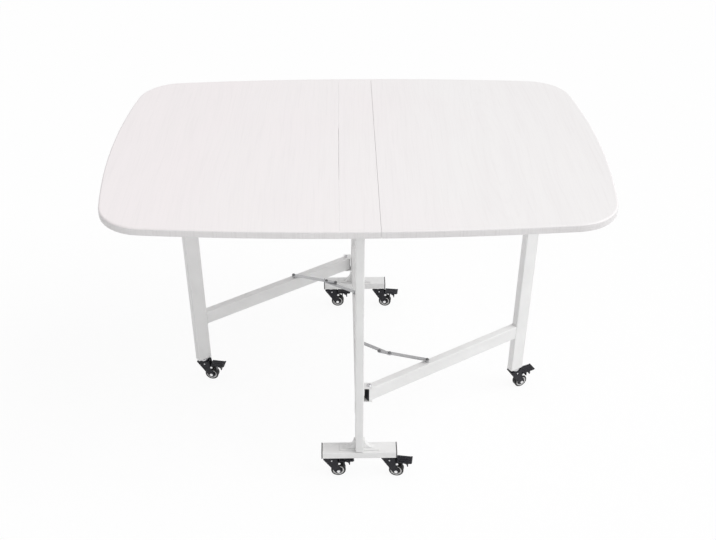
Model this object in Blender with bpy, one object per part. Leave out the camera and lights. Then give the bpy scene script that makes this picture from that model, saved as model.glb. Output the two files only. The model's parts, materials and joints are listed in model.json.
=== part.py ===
"""Folding dining table: a narrow fixed strip with two leaves, a wheeled centre frame and two gate legs.

Metres, +Z up. The origin lies on the floor under the middle of the top.
+X runs along the length, from the left leaf to the right leaf. -Y is the front.
"""

import math

import bmesh
import bpy
from mathutils import Matrix, Vector

# Top
TOP_LENGTH = 1.200
TOP_WIDTH = 0.800
TOP_HEIGHT = 0.755
TOP_THICKNESS = 0.018
END_BOW = 0.042
SIDE_BOW = 0.032
CORNER_RADIUS = 0.112
EDGE_ROUND = 0.005
STRIP_WIDTH = 0.0895
SEAM_GAP = 0.0004

# Steel tube, one section throughout
TUBE_WIDE = 0.040
TUBE_THIN = 0.020
TUBE_WALL = 0.0012
TUBE_CORNER = 0.0025

# Centre frame
POST_SPACING = 0.742
STRETCHER_TOP = 0.230
FOOT_LENGTH = 0.192
FOOT_CAP_THICKNESS = 0.0025
FOOT_CAP_LIP = 0.0004
FOOT_CAP_PLUG = 0.010
BASE_PLATE_LENGTH = 0.100
BASE_PLATE_WIDTH = 0.024
BASE_PLATE_THICKNESS = 0.002
GUSSET_HEIGHT = 0.028
GUSSET_REACH = 0.032
GUSSET_THICKNESS = 0.012
GUSSET_TOP_WIDTH = 0.003

# Leaf hinges, one under the middle of each seam
HINGE_LENGTH = 0.260
HINGE_KNUCKLES = 5
HINGE_PLATE_WIDTH = 0.022
HINGE_PLATE_THICKNESS = 0.0018
HINGE_KNUCKLE_RADIUS = 0.0032
HINGE_PIN_RADIUS = 0.0015

# Gates
GATE_PIN_OFFSET = 0.026
GATE_PIN_STATION = 0.295
GATE_PIN_RADIUS = 0.003
GATE_OPENING_DEG = {"right": 58.5, "left": 56.5}
GATE_REACH = 0.4935
GATE_TAIL = 0.006
GATE_PLUG_THICKNESS = 0.0012
GATE_PLUG_DEPTH = 0.002
GATE_BRACKET_WIDTH = 0.022
GATE_BRACKET_THICKNESS = 0.0025
GATE_BRACKET_LIP = 0.008
BOLT_HEAD_RADIUS = 0.006
BOLT_HEAD_HEIGHT = 0.003
LEG_PAD_THICKNESS = 0.004
LEG_PAD_PLUG = 0.012

# Folding stays
STAY_STATION = {"right": 0.115, "left": 0.107}
STAY_REACH = {"right": 0.180, "left": 0.185}
STAY_RISE = 0.003
STAY_SLACK = 0.0008
STAY_OVERLAP = 0.028
STAY_WIDTH = 0.010
STAY_THICKNESS = 0.0025
STAY_RIVET_RADIUS = 0.0025
STAY_RIVET_HEAD_RADIUS = 0.0045
STAY_RIVET_HEAD_HEIGHT = 0.0025
STAY_RIVET_TAIL = 0.004
STAY_KNOB_RADIUS = 0.0035
STAY_KNOB_HEIGHT = 0.0022

# Casters
CASTER_HEIGHT = 0.072
CASTER_SPACING = 0.150
CASTER_TRAIL = 0.0215
WHEEL_RADIUS = 0.019
WHEEL_WIDTH = 0.017
WHEEL_SHOULDER = 0.0025
HUB_RADIUS = 0.0135
HUB_RECESS = 0.002
HUB_BOSS_RADIUS = 0.006
AXLE_RADIUS = 0.0025
AXLE_HEAD_RADIUS = 0.0045
AXLE_HEAD_THICKNESS = 0.002
STEM_RADIUS = 0.004
STEM_RISE = 0.014
FLANGE_RADIUS = 0.013
FLANGE_THICKNESS = 0.003
RACE_RADIUS = 0.0105
RACE_HEIGHT = 0.004
KING_PIN_HEAD_RADIUS = 0.0065
KING_PIN_HEAD_HEIGHT = 0.0025
YOKE_WALL = 0.002
YOKE_CROWN = 0.003
YOKE_NOSE = 0.0175
YOKE_CROWN_REACH = 0.018
YOKE_TIP_RADIUS = 0.0085
YOKE_WAIST_FORWARD = 0.002
YOKE_WAIST_RISE = 0.018
PEDAL_PIVOT_RADIUS = 0.002
PEDAL_PIVOT_FORWARD = 0.002
PEDAL_PIVOT_RISE = 0.008
PEDAL_BOSS_RADIUS = 0.004
PEDAL_LIFT = 0.0015
PEDAL_BACK = 0.0015
PEDAL_LENGTH = 0.039
PEDAL_WIDTH = 0.025
PEDAL_THICKNESS = 0.003
PEDAL_CURL = 0.006
PEDAL_CURL_TURN_DEG = 60.0
PEDAL_TOE_STATION = 0.0255
PEDAL_TOE_THICKNESS = 0.0025
PEDAL_TOE_WIDTH = 0.012
PEDAL_TOE_DROP = 0.017
BRAKE_SHOE_BEARING_DEG = 47.0
BRAKE_SHOE_SPREAD_DEG = 11.5
BRAKE_GAP = 0.003
CASTER_ANGLES_DEG = {
    "front_left": 2.0,
    "front_right": -9.0,
    "rear_left": -2.0,
    "rear_right": -8.0,
    "gate_right": 24.0,
    "gate_left": -10.0,
}

# Clearances
GAP = 0.0003
RUNNING_GAP = 0.0003
WHEEL_SIDE_GAP = 0.001

# Facets
FINE_SIDES = 20
ROUND_SIDES = 14
SMALL_SIDES = 10
SMOOTH_ANGLE = math.radians(40)

# Places worked out from the sizes above
TOP_UNDERSIDE = TOP_HEIGHT - TOP_THICKNESS
FOOT_BOTTOM = CASTER_HEIGHT
FOOT_TOP = FOOT_BOTTOM + TUBE_THIN
POST_STATION = POST_SPACING / 2
STRETCHER_MIDDLE = STRETCHER_TOP - TUBE_WIDE / 2
STRETCHER_SIDE = TUBE_THIN / 2
SEAM = STRIP_WIDTH / 2
LEAF_EDGE = SEAM + SEAM_GAP
HINGE_AXIS_X = SEAM + SEAM_GAP / 2
HINGE_AXIS_Z = TOP_UNDERSIDE - GAP - HINGE_KNUCKLE_RADIUS
LEG_TOP = TOP_UNDERSIDE - GAP - LEG_PAD_THICKNESS - GAP
RACE_TOP = CASTER_HEIGHT - GAP - FLANGE_THICKNESS
CROWN_TOP = RACE_TOP - RACE_HEIGHT - RUNNING_GAP
CROWN_BOTTOM = CROWN_TOP - YOKE_CROWN
YOKE_INNER = WHEEL_WIDTH / 2 + WHEEL_SIDE_GAP
YOKE_OUTER = YOKE_INNER + YOKE_WALL
PEDAL_PIVOT_X = CASTER_TRAIL + PEDAL_PIVOT_FORWARD
PEDAL_PIVOT_Z = 2 * WHEEL_RADIUS + PEDAL_PIVOT_RISE
PEDAL_LOW = PEDAL_BOSS_RADIUS + PEDAL_LIFT


def clear_scene():
    for item in list(bpy.data.objects):
        bpy.data.objects.remove(item, do_unlink=True)


def material(name, colour, roughness, metallic=0.0):
    made = bpy.data.materials.new(name)
    made.use_nodes = True
    shader = made.node_tree.nodes["Principled BSDF"]
    shader.inputs["Base Color"].default_value = (*colour, 1.0)
    shader.inputs["Roughness"].default_value = roughness
    shader.inputs["Metallic"].default_value = metallic
    return made


def finishes():
    return {
        "board": material("white_grain_board", (0.90, 0.87, 0.86), 0.45),
        "paint": material("white_powder_coat", (0.86, 0.86, 0.86), 0.40),
        "cap": material("dark_end_cap", (0.10, 0.10, 0.11), 0.50),
        "black": material("black_plastic", (0.02, 0.02, 0.022), 0.35),
        "wheel": material("black_wheel", (0.03, 0.03, 0.032), 0.45),
        "zinc": material("zinc_plate", (0.62, 0.62, 0.64), 0.35, 1.0),
        "grey": material("grey_stay_steel", (0.55, 0.55, 0.56), 0.40, 0.8),
    }


# Mesh building

def place(name, mesh, finish, parent=None, location=(0, 0, 0), turn=0.0):
    """One named object from a mesh, turned about Z and set on its parent."""
    item = bpy.data.objects.new(name, mesh)
    bpy.context.scene.collection.objects.link(item)
    item.data.materials.clear()
    item.data.materials.append(finish)
    item.parent = parent
    item.location = location
    item.rotation_euler = (0, 0, turn)
    return item


def pivot(name, location, turn=0.0, parent=None):
    item = bpy.data.objects.new(name, None)
    bpy.context.scene.collection.objects.link(item)
    item.empty_display_size = 0.02
    item.parent = parent
    item.location = location
    item.rotation_euler = (0, 0, turn)
    return item


def finish_mesh(bm, name, smooth=False):
    bmesh.ops.remove_doubles(bm, verts=bm.verts, dist=1e-7)
    bmesh.ops.recalc_face_normals(bm, faces=bm.faces)
    mesh = bpy.data.meshes.new(name)
    bm.to_mesh(mesh)
    bm.free()
    if smooth:
        mesh.shade_smooth()
        mesh.set_sharp_from_angle(angle=SMOOTH_ANGLE)
    return mesh


def stack_rings(bm, rings):
    """A closed body through rings of equal count, with a flat cap at each end."""
    rows = [[bm.verts.new(point) for point in ring] for ring in rings]
    count = len(rows[0])
    for below, above in zip(rows, rows[1:]):
        for i in range(count):
            j = (i + 1) % count
            bm.faces.new((below[i], below[j], above[j], above[i]))
    bm.faces.new(list(reversed(rows[0])))
    bm.faces.new(rows[-1])


def box_mesh(name, low, high):
    bm = bmesh.new()
    ring = [(low[0], low[1]), (high[0], low[1]), (high[0], high[1]), (low[0], high[1])]
    stack_rings(bm, [[(x, y, z) for x, y in ring] for z in (low[2], high[2])])
    return finish_mesh(bm, name)


def prism_mesh(name, outline, low, high, plane="XY", smooth=False):
    """An outline drawn in a plane and pushed from low to high along that plane's normal."""
    lift = {
        "XY": lambda u, v, w: (u, v, w),
        "XZ": lambda u, v, w: (u, w, v),
    }[plane]
    bm = bmesh.new()
    stack_rings(bm, [[lift(u, v, w) for u, v in outline] for w in (low, high)])
    return finish_mesh(bm, name, smooth)


def turned_mesh(name, profile, sides, axis="Z"):
    """A solid of revolution from (radius, height) pairs, closed by flat ends."""
    lift = {
        "Z": lambda a, b, h: (a, b, h),
        "Y": lambda a, b, h: (a, h, b),
    }[axis]
    rings = []
    for radius, height in profile:
        angles = [2 * math.pi * i / sides for i in range(sides)]
        rings.append([lift(radius * math.cos(a), radius * math.sin(a), height) for a in angles])
    bm = bmesh.new()
    stack_rings(bm, rings)
    return finish_mesh(bm, name, smooth=True)


def moved(mesh, offset=(0, 0, 0), turn=0.0):
    copy = mesh.copy()
    copy.transform(Matrix.Translation(Vector(offset)) @ Matrix.Rotation(turn, 4, "Z"))
    return copy


def combined(name, base, others, operation):
    """The base mesh cut by, or joined to, the other meshes."""
    scene = bpy.context.scene.collection.objects
    body = bpy.data.objects.new(name, base)
    scene.link(body)
    helpers = []
    for mesh in others:
        helper = bpy.data.objects.new(name + "_helper", mesh)
        scene.link(helper)
        step = body.modifiers.new("combine", "BOOLEAN")
        step.operation = operation
        step.solver = "EXACT"
        step.object = helper
        helpers.append(helper)
    view = bpy.context.evaluated_depsgraph_get()
    result = bpy.data.meshes.new_from_object(body.evaluated_get(view))
    for item in (body, *helpers):
        bpy.data.objects.remove(item, do_unlink=True)
    bm = bmesh.new()
    bm.from_mesh(result)
    bmesh.ops.dissolve_limit(bm, angle_limit=1e-4, verts=bm.verts, edges=bm.edges)
    return finish_mesh(bm, name, smooth=True)


def arc(centre, radius, start, end, steps):
    angles = [start + (end - start) * i / steps for i in range(steps + 1)]
    return [(centre[0] + radius * math.cos(a), centre[1] + radius * math.sin(a)) for a in angles]


def round_rectangle(width, depth, radius, steps=3):
    half_width = width / 2 - radius
    half_depth = depth / 2 - radius
    corners = ((1, 1), (-1, 1), (-1, -1), (1, -1))
    points = []
    for i, (sx, sy) in enumerate(corners):
        start = i * math.pi / 2
        points += arc((sx * half_width, sy * half_depth), radius, start, start + math.pi / 2, steps)
    return points


def tube_mesh(name, length, width, depth, along):
    """An open rectangular tube of the steel section, running from 0 to length along one axis."""
    lift = {
        "X": lambda u, v, w: (w, u, v),
        "Y": lambda u, v, w: (u, w, v),
        "Z": lambda u, v, w: (u, v, w),
    }[along]
    outer = round_rectangle(width, depth, TUBE_CORNER)
    inner = round_rectangle(width - 2 * TUBE_WALL, depth - 2 * TUBE_WALL, TUBE_CORNER - TUBE_WALL)
    bm = bmesh.new()
    loops = []
    for outline in (outer, inner):
        for w in (0, length):
            loops.append([bm.verts.new(lift(u, v, w)) for u, v in outline])
    outer_start, outer_end, inner_start, inner_end = loops
    pairs = (
        (outer_start, outer_end),
        (outer_end, inner_end),
        (inner_end, inner_start),
        (inner_start, outer_start),
    )
    count = len(outer)
    for first, second in pairs:
        for i in range(count):
            j = (i + 1) % count
            bm.faces.new((first[i], first[j], second[j], second[i]))
    return finish_mesh(bm, name, smooth=True)


def drilled(name, tube, holes):
    return combined(name, tube, holes, "DIFFERENCE")


# The top

def top_curve(inset):
    """Centres, radii and corner of the bowed outline, drawn in by an inset."""
    half_length = TOP_LENGTH / 2
    half_width = TOP_WIDTH / 2
    end_radius = (half_width ** 2 + END_BOW ** 2) / (2 * END_BOW)
    side_radius = (half_length ** 2 + SIDE_BOW ** 2) / (2 * SIDE_BOW)
    end_centre = Vector((half_length - end_radius, 0))
    side_centre = Vector((0, half_width - side_radius))
    to_end = end_radius - CORNER_RADIUS
    to_side = side_radius - CORNER_RADIUS
    span = side_centre - end_centre
    along = (to_end ** 2 - to_side ** 2 + span.length_squared) / (2 * span.length)
    across = math.sqrt(to_end ** 2 - along ** 2)
    unit = span.normalized()
    foot = end_centre + unit * along
    normal = Vector((unit.y, -unit.x))
    corner = max((foot + normal * across, foot - normal * across), key=lambda p: p.x + p.y)
    return {
        "end": (end_centre, end_radius - inset),
        "side": (side_centre, side_radius - inset),
        "corner": (corner, CORNER_RADIUS - inset),
    }


def bearing(origin, point):
    return math.atan2(point.y - origin.y, point.x - origin.x)


def side_height(curve, x):
    centre, radius = curve["side"]
    return centre.y + math.sqrt(radius ** 2 - (x - centre.x) ** 2)


def leaf_outline(inset, side_steps=6, corner_steps=8, end_steps=6):
    """The right leaf's outline, from the seam's front end round to its rear end."""
    curve = top_curve(inset)
    side_centre, side_radius = curve["side"]
    end_centre, end_radius = curve["end"]
    corner, corner_radius = curve["corner"]
    side_bearing = bearing(side_centre, corner)
    end_bearing = bearing(end_centre, corner)
    seam_bearing = bearing(side_centre, Vector((LEAF_EDGE, side_height(curve, LEAF_EDGE))))
    upper = arc(end_centre, end_radius, 0, end_bearing, end_steps)
    upper += arc(corner, corner_radius, end_bearing, side_bearing, corner_steps)[1:]
    upper += arc(side_centre, side_radius, side_bearing, seam_bearing, side_steps)[1:]
    lower = [(x, -y) for x, y in reversed(upper[1:])]
    return lower + upper


def strip_outline(inset, steps=4):
    curve = top_curve(inset)
    centre, radius = curve["side"]
    right = bearing(centre, Vector((SEAM, side_height(curve, SEAM))))
    rear = arc(centre, radius, right, math.pi - right, steps)
    front = [(-x, -y) for x, y in rear]
    return rear + front


def board_mesh(name, outline):
    """A board with a square lower edge and a rounded upper edge along the outline's inset."""
    rings = [(0.0, TOP_UNDERSIDE)]
    round_steps = 3
    for i in range(round_steps + 1):
        turn = math.pi / 2 * i / round_steps
        inset = EDGE_ROUND * (1 - math.cos(turn))
        rings.append((inset, TOP_HEIGHT - EDGE_ROUND + EDGE_ROUND * math.sin(turn)))
    bm = bmesh.new()
    stack_rings(bm, [[(x, y, z) for x, y in outline(inset)] for inset, z in rings])
    return finish_mesh(bm, name, smooth=True)


def build_top(finish, leaf_pivots):
    place("centre_strip", board_mesh("strip", strip_outline), finish["board"])
    leaf = board_mesh("leaf", leaf_outline)
    leaf.transform(Matrix.Translation((-HINGE_AXIS_X, 0, -HINGE_AXIS_Z)))
    for side, parent in leaf_pivots.items():
        place("leaf_" + side, leaf.copy(), finish["board"], parent)


# Leaf hinges

def hinge_half(name, plate_side, knuckles, pinned):
    """One hinge plate at the origin of its pin, with its knuckles as (low, high) along Y.

    The pinned plate's end knuckles are peened on the pin, which is part of it.
    """
    reach = HINGE_KNUCKLE_RADIUS + GAP
    far = reach + HINGE_PLATE_WIDTH
    top = HINGE_KNUCKLE_RADIUS
    bottom = top - HINGE_PLATE_THICKNESS
    xs = sorted((plate_side * reach, plate_side * far))
    plate = box_mesh("plate", (xs[0], -HINGE_LENGTH / 2, bottom), (xs[1], HINGE_LENGTH / 2, top))
    barrels = []
    bores = []
    bore = HINGE_PIN_RADIUS + RUNNING_GAP
    for low, high in knuckles:
        arm_xs = sorted((0.0, plate_side * (reach + HINGE_PLATE_THICKNESS)))
        barrels.append(box_mesh("arm", (arm_xs[0], low, bottom), (arm_xs[1], high, top)))
        barrel = [(HINGE_KNUCKLE_RADIUS, low), (HINGE_KNUCKLE_RADIUS, high)]
        barrels.append(turned_mesh("barrel", barrel, SMALL_SIDES, "Y"))
        bores.append(turned_mesh("bore", [(bore, low - GAP), (bore, high + GAP)], SMALL_SIDES, "Y"))
    if pinned:
        pin_ends = [(HINGE_PIN_RADIUS, knuckles[0][0] + GAP), (HINGE_PIN_RADIUS, knuckles[-1][1] - GAP)]
        return combined(name, plate, [*barrels, turned_mesh("pin", pin_ends, SMALL_SIDES, "Y")], "UNION")
    whole = combined(name, plate, barrels, "UNION")
    return combined(name, whole, bores, "DIFFERENCE")


def build_hinges(finish, leaf_pivots):
    step = HINGE_LENGTH / HINGE_KNUCKLES
    spans = []
    for i in range(HINGE_KNUCKLES):
        low = -HINGE_LENGTH / 2 + step * i
        spans.append((low + GAP / 2, low + step - GAP / 2))
    fixed = hinge_half("hinge_fixed", -1, spans[0::2], pinned=True)
    swinging = hinge_half("hinge_swinging", 1, spans[1::2], pinned=False)
    for side, parent in leaf_pivots.items():
        at = parent.location
        turn = parent.rotation_euler.z
        place("hinge_frame_plate_" + side, fixed.copy(), finish["zinc"], None, at, turn)
        place("hinge_leaf_plate_" + side, swinging.copy(), finish["zinc"], parent)


# Centre frame

def bolt_mesh(name, radius, head_radius, head_height, bottom, top):
    """A bolt along Z with a domed head above top and a nut below bottom."""
    profile = [
        (head_radius, bottom - head_height),
        (head_radius, bottom),
        (radius, bottom),
        (radius, top),
        (head_radius, top),
        (head_radius, top + head_height / 2),
        (head_radius * 0.7, top + head_height),
    ]
    return turned_mesh(name, profile, ROUND_SIDES)


def build_posts(finish):
    base = FOOT_TOP + GAP + BASE_PLATE_THICKNESS + GAP
    length = TOP_UNDERSIDE - GAP - base
    post = tube_mesh("post", length, TUBE_THIN, TUBE_WIDE, "Z")
    for name, sign in (("front", -1), ("rear", 1)):
        place("post_" + name, post.copy(), finish["paint"], location=(0, sign * POST_STATION, base))


def rail_length():
    return POST_SPACING - TUBE_WIDE - 2 * GAP


def build_stretcher(finish):
    tube = tube_mesh("stretcher", rail_length(), TUBE_THIN, TUBE_WIDE, "Y")
    bore = STAY_RIVET_RADIUS + RUNNING_GAP
    holes = []
    for side in ("right", "left"):
        hole = turned_mesh("hole", [(bore, 0), (bore, TUBE_WIDE)], SMALL_SIDES)
        holes.append(moved(hole, (0, rail_length() / 2 + stay_anchor(side).y, 0)))
    mesh = drilled("stretcher", tube, holes)
    place("stretcher", mesh, finish["paint"], location=(0, -rail_length() / 2, STRETCHER_MIDDLE))


def build_top_rail(finish):
    middle = TOP_UNDERSIDE - GAP - TUBE_WIDE / 2
    tube = tube_mesh("top_rail", rail_length(), TUBE_THIN, TUBE_WIDE, "Y")
    place("top_rail", tube, finish["paint"], location=(0, -rail_length() / 2, middle))


def caster_stations():
    half = CASTER_SPACING / 2
    return {"left": -half, "right": half}


def build_feet(finish):
    tube_length = FOOT_LENGTH - 2 * (FOOT_CAP_THICKNESS + GAP)
    tube = tube_mesh("foot", tube_length, TUBE_WIDE, TUBE_THIN, "X")
    bore = STEM_RADIUS + GAP
    hole = turned_mesh("hole", [(bore, -TUBE_THIN), (bore, 0)], SMALL_SIDES)
    holes = [moved(hole, (tube_length / 2 + x, 0, 0)) for x in caster_stations().values()]
    foot = drilled("foot", tube, holes)
    middle = FOOT_BOTTOM + TUBE_THIN / 2
    for name, sign in (("front", -1), ("rear", 1)):
        at = (-tube_length / 2, sign * POST_STATION, middle)
        place("foot_bar_" + name, foot.copy(), finish["paint"], location=at)
    build_foot_caps(finish, middle)
    build_post_brackets(finish)


def build_foot_caps(finish, middle):
    """End caps: a thin plate with a plug that slides into the tube."""
    lip = round_rectangle(TUBE_WIDE + 2 * FOOT_CAP_LIP, TUBE_THIN + 2 * FOOT_CAP_LIP, TUBE_CORNER)
    bore = 2 * (TUBE_WALL + GAP)
    plug = round_rectangle(TUBE_WIDE - bore, TUBE_THIN - bore, TUBE_CORNER - TUBE_WALL)
    rows = [
        (plug, -FOOT_CAP_PLUG),
        (plug, 0.0),
        (lip, 0.0),
        (lip, FOOT_CAP_THICKNESS),
    ]
    bm = bmesh.new()
    stack_rings(bm, [[(x, y, z) for y, z in outline] for outline, x in rows])
    cap = finish_mesh(bm, "cap", smooth=True)
    for end, y_sign in (("front", -1), ("rear", 1)):
        for side, x_sign, turn in (("right", 1, 0.0), ("left", -1, math.pi)):
            x = x_sign * (FOOT_LENGTH / 2 - FOOT_CAP_THICKNESS)
            at = (x, y_sign * POST_STATION, middle)
            place("foot_cap_" + end + "_" + side, cap.copy(), finish["cap"], location=at, turn=turn)


def build_post_brackets(finish):
    """A base plate on each foot with a hollow-backed gusset on both sides of the post."""
    low = FOOT_TOP + GAP
    top = low + BASE_PLATE_THICKNESS
    near = TUBE_THIN / 2 + GAP
    half_length = BASE_PLATE_LENGTH / 2
    half_width = BASE_PLATE_WIDTH / 2
    plate = box_mesh("plate", (-half_length, -half_width, low), (half_length, half_width, top))
    steps = 5
    curve = []
    for i in range(steps + 1):
        turn = math.pi / 2 * i / steps
        x = near + GUSSET_REACH - (GUSSET_REACH - GUSSET_TOP_WIDTH) * math.sin(turn)
        curve.append((x, top + GUSSET_HEIGHT * (1 - math.cos(turn))))
    root = low + BASE_PLATE_THICKNESS / 2
    outline = [(near, root), (near + GUSSET_REACH, root)]
    outline += curve + [(near, top + GUSSET_HEIGHT)]
    gusset = prism_mesh("gusset", outline, -GUSSET_THICKNESS / 2, GUSSET_THICKNESS / 2, "XZ")
    bracket = combined("bracket", plate, [gusset, moved(gusset, turn=math.pi)], "UNION")
    for end, sign in (("front", -1), ("rear", 1)):
        place("post_bracket_" + end, bracket.copy(), finish["paint"], location=(0, sign * POST_STATION, 0))


# Gates

def gate_turn(side):
    """The bearing of a gate's bar as it stands open."""
    bearing_from_frame = math.radians(90 - GATE_OPENING_DEG[side])
    return bearing_from_frame if side == "right" else bearing_from_frame + math.pi


def gate_pin_place(side):
    sign = 1 if side == "right" else -1
    return (sign * GATE_PIN_OFFSET, -sign * GATE_PIN_STATION, 0)


def build_gate_brackets(finish):
    """U brackets on the stretcher's sides, with a pin in each."""
    low = STRETCHER_TOP - TUBE_WIDE - GAP
    high = STRETCHER_TOP + GAP
    back = STRETCHER_SIDE + GAP
    reach = GATE_PIN_OFFSET + GATE_BRACKET_LIP
    half = GATE_BRACKET_WIDTH / 2
    thick = GATE_BRACKET_THICKNESS
    outline = [
        (back, low - thick),
        (reach, low - thick),
        (reach, low),
        (back + thick, low),
        (back + thick, high),
        (reach, high),
        (reach, high + thick),
        (back, high + thick),
    ]
    channel = prism_mesh("channel", outline, -half, half, "XZ")
    bore = GATE_PIN_RADIUS + GAP
    hole = turned_mesh("hole", [(bore, low - 2 * thick), (bore, high + 2 * thick)], ROUND_SIDES)
    bracket = combined("bracket", channel, [moved(hole, (GATE_PIN_OFFSET, 0, 0))], "DIFFERENCE")
    bottom = low - thick - GAP
    top = high + thick + GAP
    pin = bolt_mesh("pin", GATE_PIN_RADIUS, BOLT_HEAD_RADIUS, BOLT_HEAD_HEIGHT, bottom, top)
    for side, turn in (("right", 0.0), ("left", math.pi)):
        x, y, z = gate_pin_place(side)
        place("gate_bracket_" + side, bracket.copy(), finish["paint"], location=(0, y, 0), turn=turn)
        place("gate_pin_" + side, pin.copy(), finish["zinc"], location=(x, y, z))


def build_gate(finish, side, parent):
    """A gate in its own frame: the pin is the origin and +X runs along the bar."""
    bar_end = GATE_REACH - TUBE_WIDE / 2 - GAP
    tube = tube_mesh("bar", bar_end + GATE_TAIL, TUBE_THIN, TUBE_WIDE, "X")
    pin_bore = GATE_PIN_RADIUS + RUNNING_GAP
    stay_bore = STAY_RIVET_RADIUS + RUNNING_GAP
    cutters = []
    for x, bore, low in ((0.0, pin_bore, -TUBE_WIDE), (STAY_REACH[side], stay_bore, 0.0)):
        cutter = turned_mesh("hole", [(bore, low), (bore, TUBE_WIDE)], SMALL_SIDES)
        cutters.append(moved(cutter, (GATE_TAIL + x, 0, 0)))
    bar = drilled("bar", tube, cutters)
    place("gate_bar_" + side, bar, finish["paint"], parent, (-GATE_TAIL, 0, STRETCHER_MIDDLE))
    plug = plug_mesh(GATE_PLUG_THICKNESS, GATE_PLUG_DEPTH)
    plug.transform(Matrix.Rotation(-math.pi / 2, 4, "Y"))
    place("gate_bar_plug_" + side, plug, finish["black"], parent, (-GATE_TAIL, 0, STRETCHER_MIDDLE))
    leg = tube_mesh("leg", LEG_TOP - CASTER_HEIGHT, TUBE_WIDE, TUBE_THIN, "Z")
    place("gate_leg_" + side, leg, finish["paint"], parent, (GATE_REACH, 0, CASTER_HEIGHT))
    pad = plug_mesh(LEG_PAD_THICKNESS, LEG_PAD_PLUG)
    place("leg_pad_" + side, pad, finish["black"], parent, (GATE_REACH, 0, LEG_TOP))


def plug_mesh(thickness, depth):
    """A plug for a tube's end, with +Z out of the tube and the tube's end at the origin."""
    rim = round_rectangle(TUBE_WIDE, TUBE_THIN, TUBE_CORNER)
    bore = 2 * (TUBE_WALL + GAP)
    plug = round_rectangle(TUBE_WIDE - bore, TUBE_THIN - bore, TUBE_CORNER - TUBE_WALL)
    rows = [(plug, -depth), (plug, GAP), (rim, GAP), (rim, GAP + thickness)]
    bm = bmesh.new()
    stack_rings(bm, [[(x, y, z) for x, y in outline] for outline, z in rows])
    return finish_mesh(bm, "plug", smooth=True)


# Folding stays: the frame link lies above the stretcher, and the gate link crosses over it

STAY_SEAT = STRETCHER_TOP + GAP
LINK_LOW = STAY_SEAT + STAY_RISE
LINK_STEP = STAY_THICKNESS + GAP


def stay_anchor(side):
    sign = 1 if side == "right" else -1
    return Vector((0, -sign * STAY_STATION[side], 0))


def stay_end(side):
    turn = gate_turn(side)
    return Vector(gate_pin_place(side)) + STAY_REACH[side] * Vector((math.cos(turn), math.sin(turn), 0))


def link_length():
    """A little over half the wider span, so that both stays are all but straight."""
    spans = [(stay_end(side) - stay_anchor(side)).length for side in ("right", "left")]
    return max(spans) / 2 + STAY_SLACK


def stay_turns(side):
    """Bearings of the frame link and the gate link, with the joint on the gate pin's side."""
    span = stay_end(side) - stay_anchor(side)
    line = math.atan2(span.y, span.x)
    bend = math.acos(span.length / 2 / link_length())
    return line - bend, line + math.pi + bend


def link_outline(length):
    radius = STAY_WIDTH / 2
    far = arc((length, 0), radius, -math.pi / 2, math.pi / 2, 6)
    near = arc((0, 0), radius, math.pi / 2, 1.5 * math.pi, 6)
    return far + near


def rivet_mesh(low, high):
    """A riveted pivot along Z, with a domed head above high and a plain end at low."""
    profile = [
        (STAY_RIVET_RADIUS, low),
        (STAY_RIVET_RADIUS, high - STAY_THICKNESS / 2),
        (STAY_RIVET_HEAD_RADIUS, high - STAY_THICKNESS / 2),
        (STAY_RIVET_HEAD_RADIUS, high + STAY_RIVET_HEAD_HEIGHT / 2),
        (STAY_RIVET_HEAD_RADIUS * 0.7, high + STAY_RIVET_HEAD_HEIGHT),
    ]
    return turned_mesh("rivet", profile, SMALL_SIDES)


def spacer_mesh(low, high):
    return turned_mesh("spacer", [(STAY_RIVET_HEAD_RADIUS, low), (STAY_RIVET_HEAD_RADIUS, high)], SMALL_SIDES)


def knob_mesh():
    """The lower end of a rivet, below the frame link."""
    profile = [
        (STAY_KNOB_RADIUS * 0.7, LINK_LOW - STAY_KNOB_HEIGHT),
        (STAY_KNOB_RADIUS, LINK_LOW - STAY_KNOB_HEIGHT / 2),
        (STAY_KNOB_RADIUS, LINK_LOW + STAY_THICKNESS / 2),
    ]
    return turned_mesh("knob", profile, SMALL_SIDES)


def frame_link_mesh():
    """The lower link: the rivet and spacer that it turns on, and two rivet ends below its far half."""
    high = LINK_LOW + STAY_THICKNESS
    bar = prism_mesh("bar", link_outline(link_length()), LINK_LOW, high)
    extras = [
        rivet_mesh(STRETCHER_TOP - STAY_RIVET_TAIL, high),
        spacer_mesh(STAY_SEAT, LINK_LOW + STAY_THICKNESS / 2),
    ]
    for x in (link_length() - STAY_OVERLAP, link_length()):
        extras.append(moved(knob_mesh(), (x, 0, 0)))
    return combined("frame_link", bar, extras, "UNION")


def gate_link_mesh():
    """The upper link: a rivet and spacer at the bar, the middle joint's rivet, and a tail past it."""
    low = LINK_LOW + LINK_STEP
    high = low + STAY_THICKNESS
    far_end = link_length() + STAY_OVERLAP
    bar = prism_mesh("bar", link_outline(far_end), low, high)
    extras = [
        rivet_mesh(STRETCHER_TOP - STAY_RIVET_TAIL, high),
        spacer_mesh(STAY_SEAT, low + STAY_THICKNESS / 2),
        moved(rivet_mesh(low + STAY_THICKNESS / 4, high), (link_length(), 0, 0)),
        moved(rivet_mesh(low + STAY_THICKNESS / 4, high), (far_end, 0, 0)),
    ]
    return combined("gate_link", bar, extras, "UNION")


def build_stays(finish, gates):
    for side, gate in gates.items():
        frame_way, gate_way = stay_turns(side)
        anchor = stay_anchor(side)
        place("stay_frame_link_" + side, frame_link_mesh(), finish["grey"], None, anchor, frame_way)
        at = (STAY_REACH[side], 0, 0)
        turn = gate_way - gate_turn(side)
        place("stay_gate_link_" + side, gate_link_mesh(), finish["grey"], gate, at, turn)


# Casters, each in its own frame: the swivel axis is the origin and +X is the way the wheel trails

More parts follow.
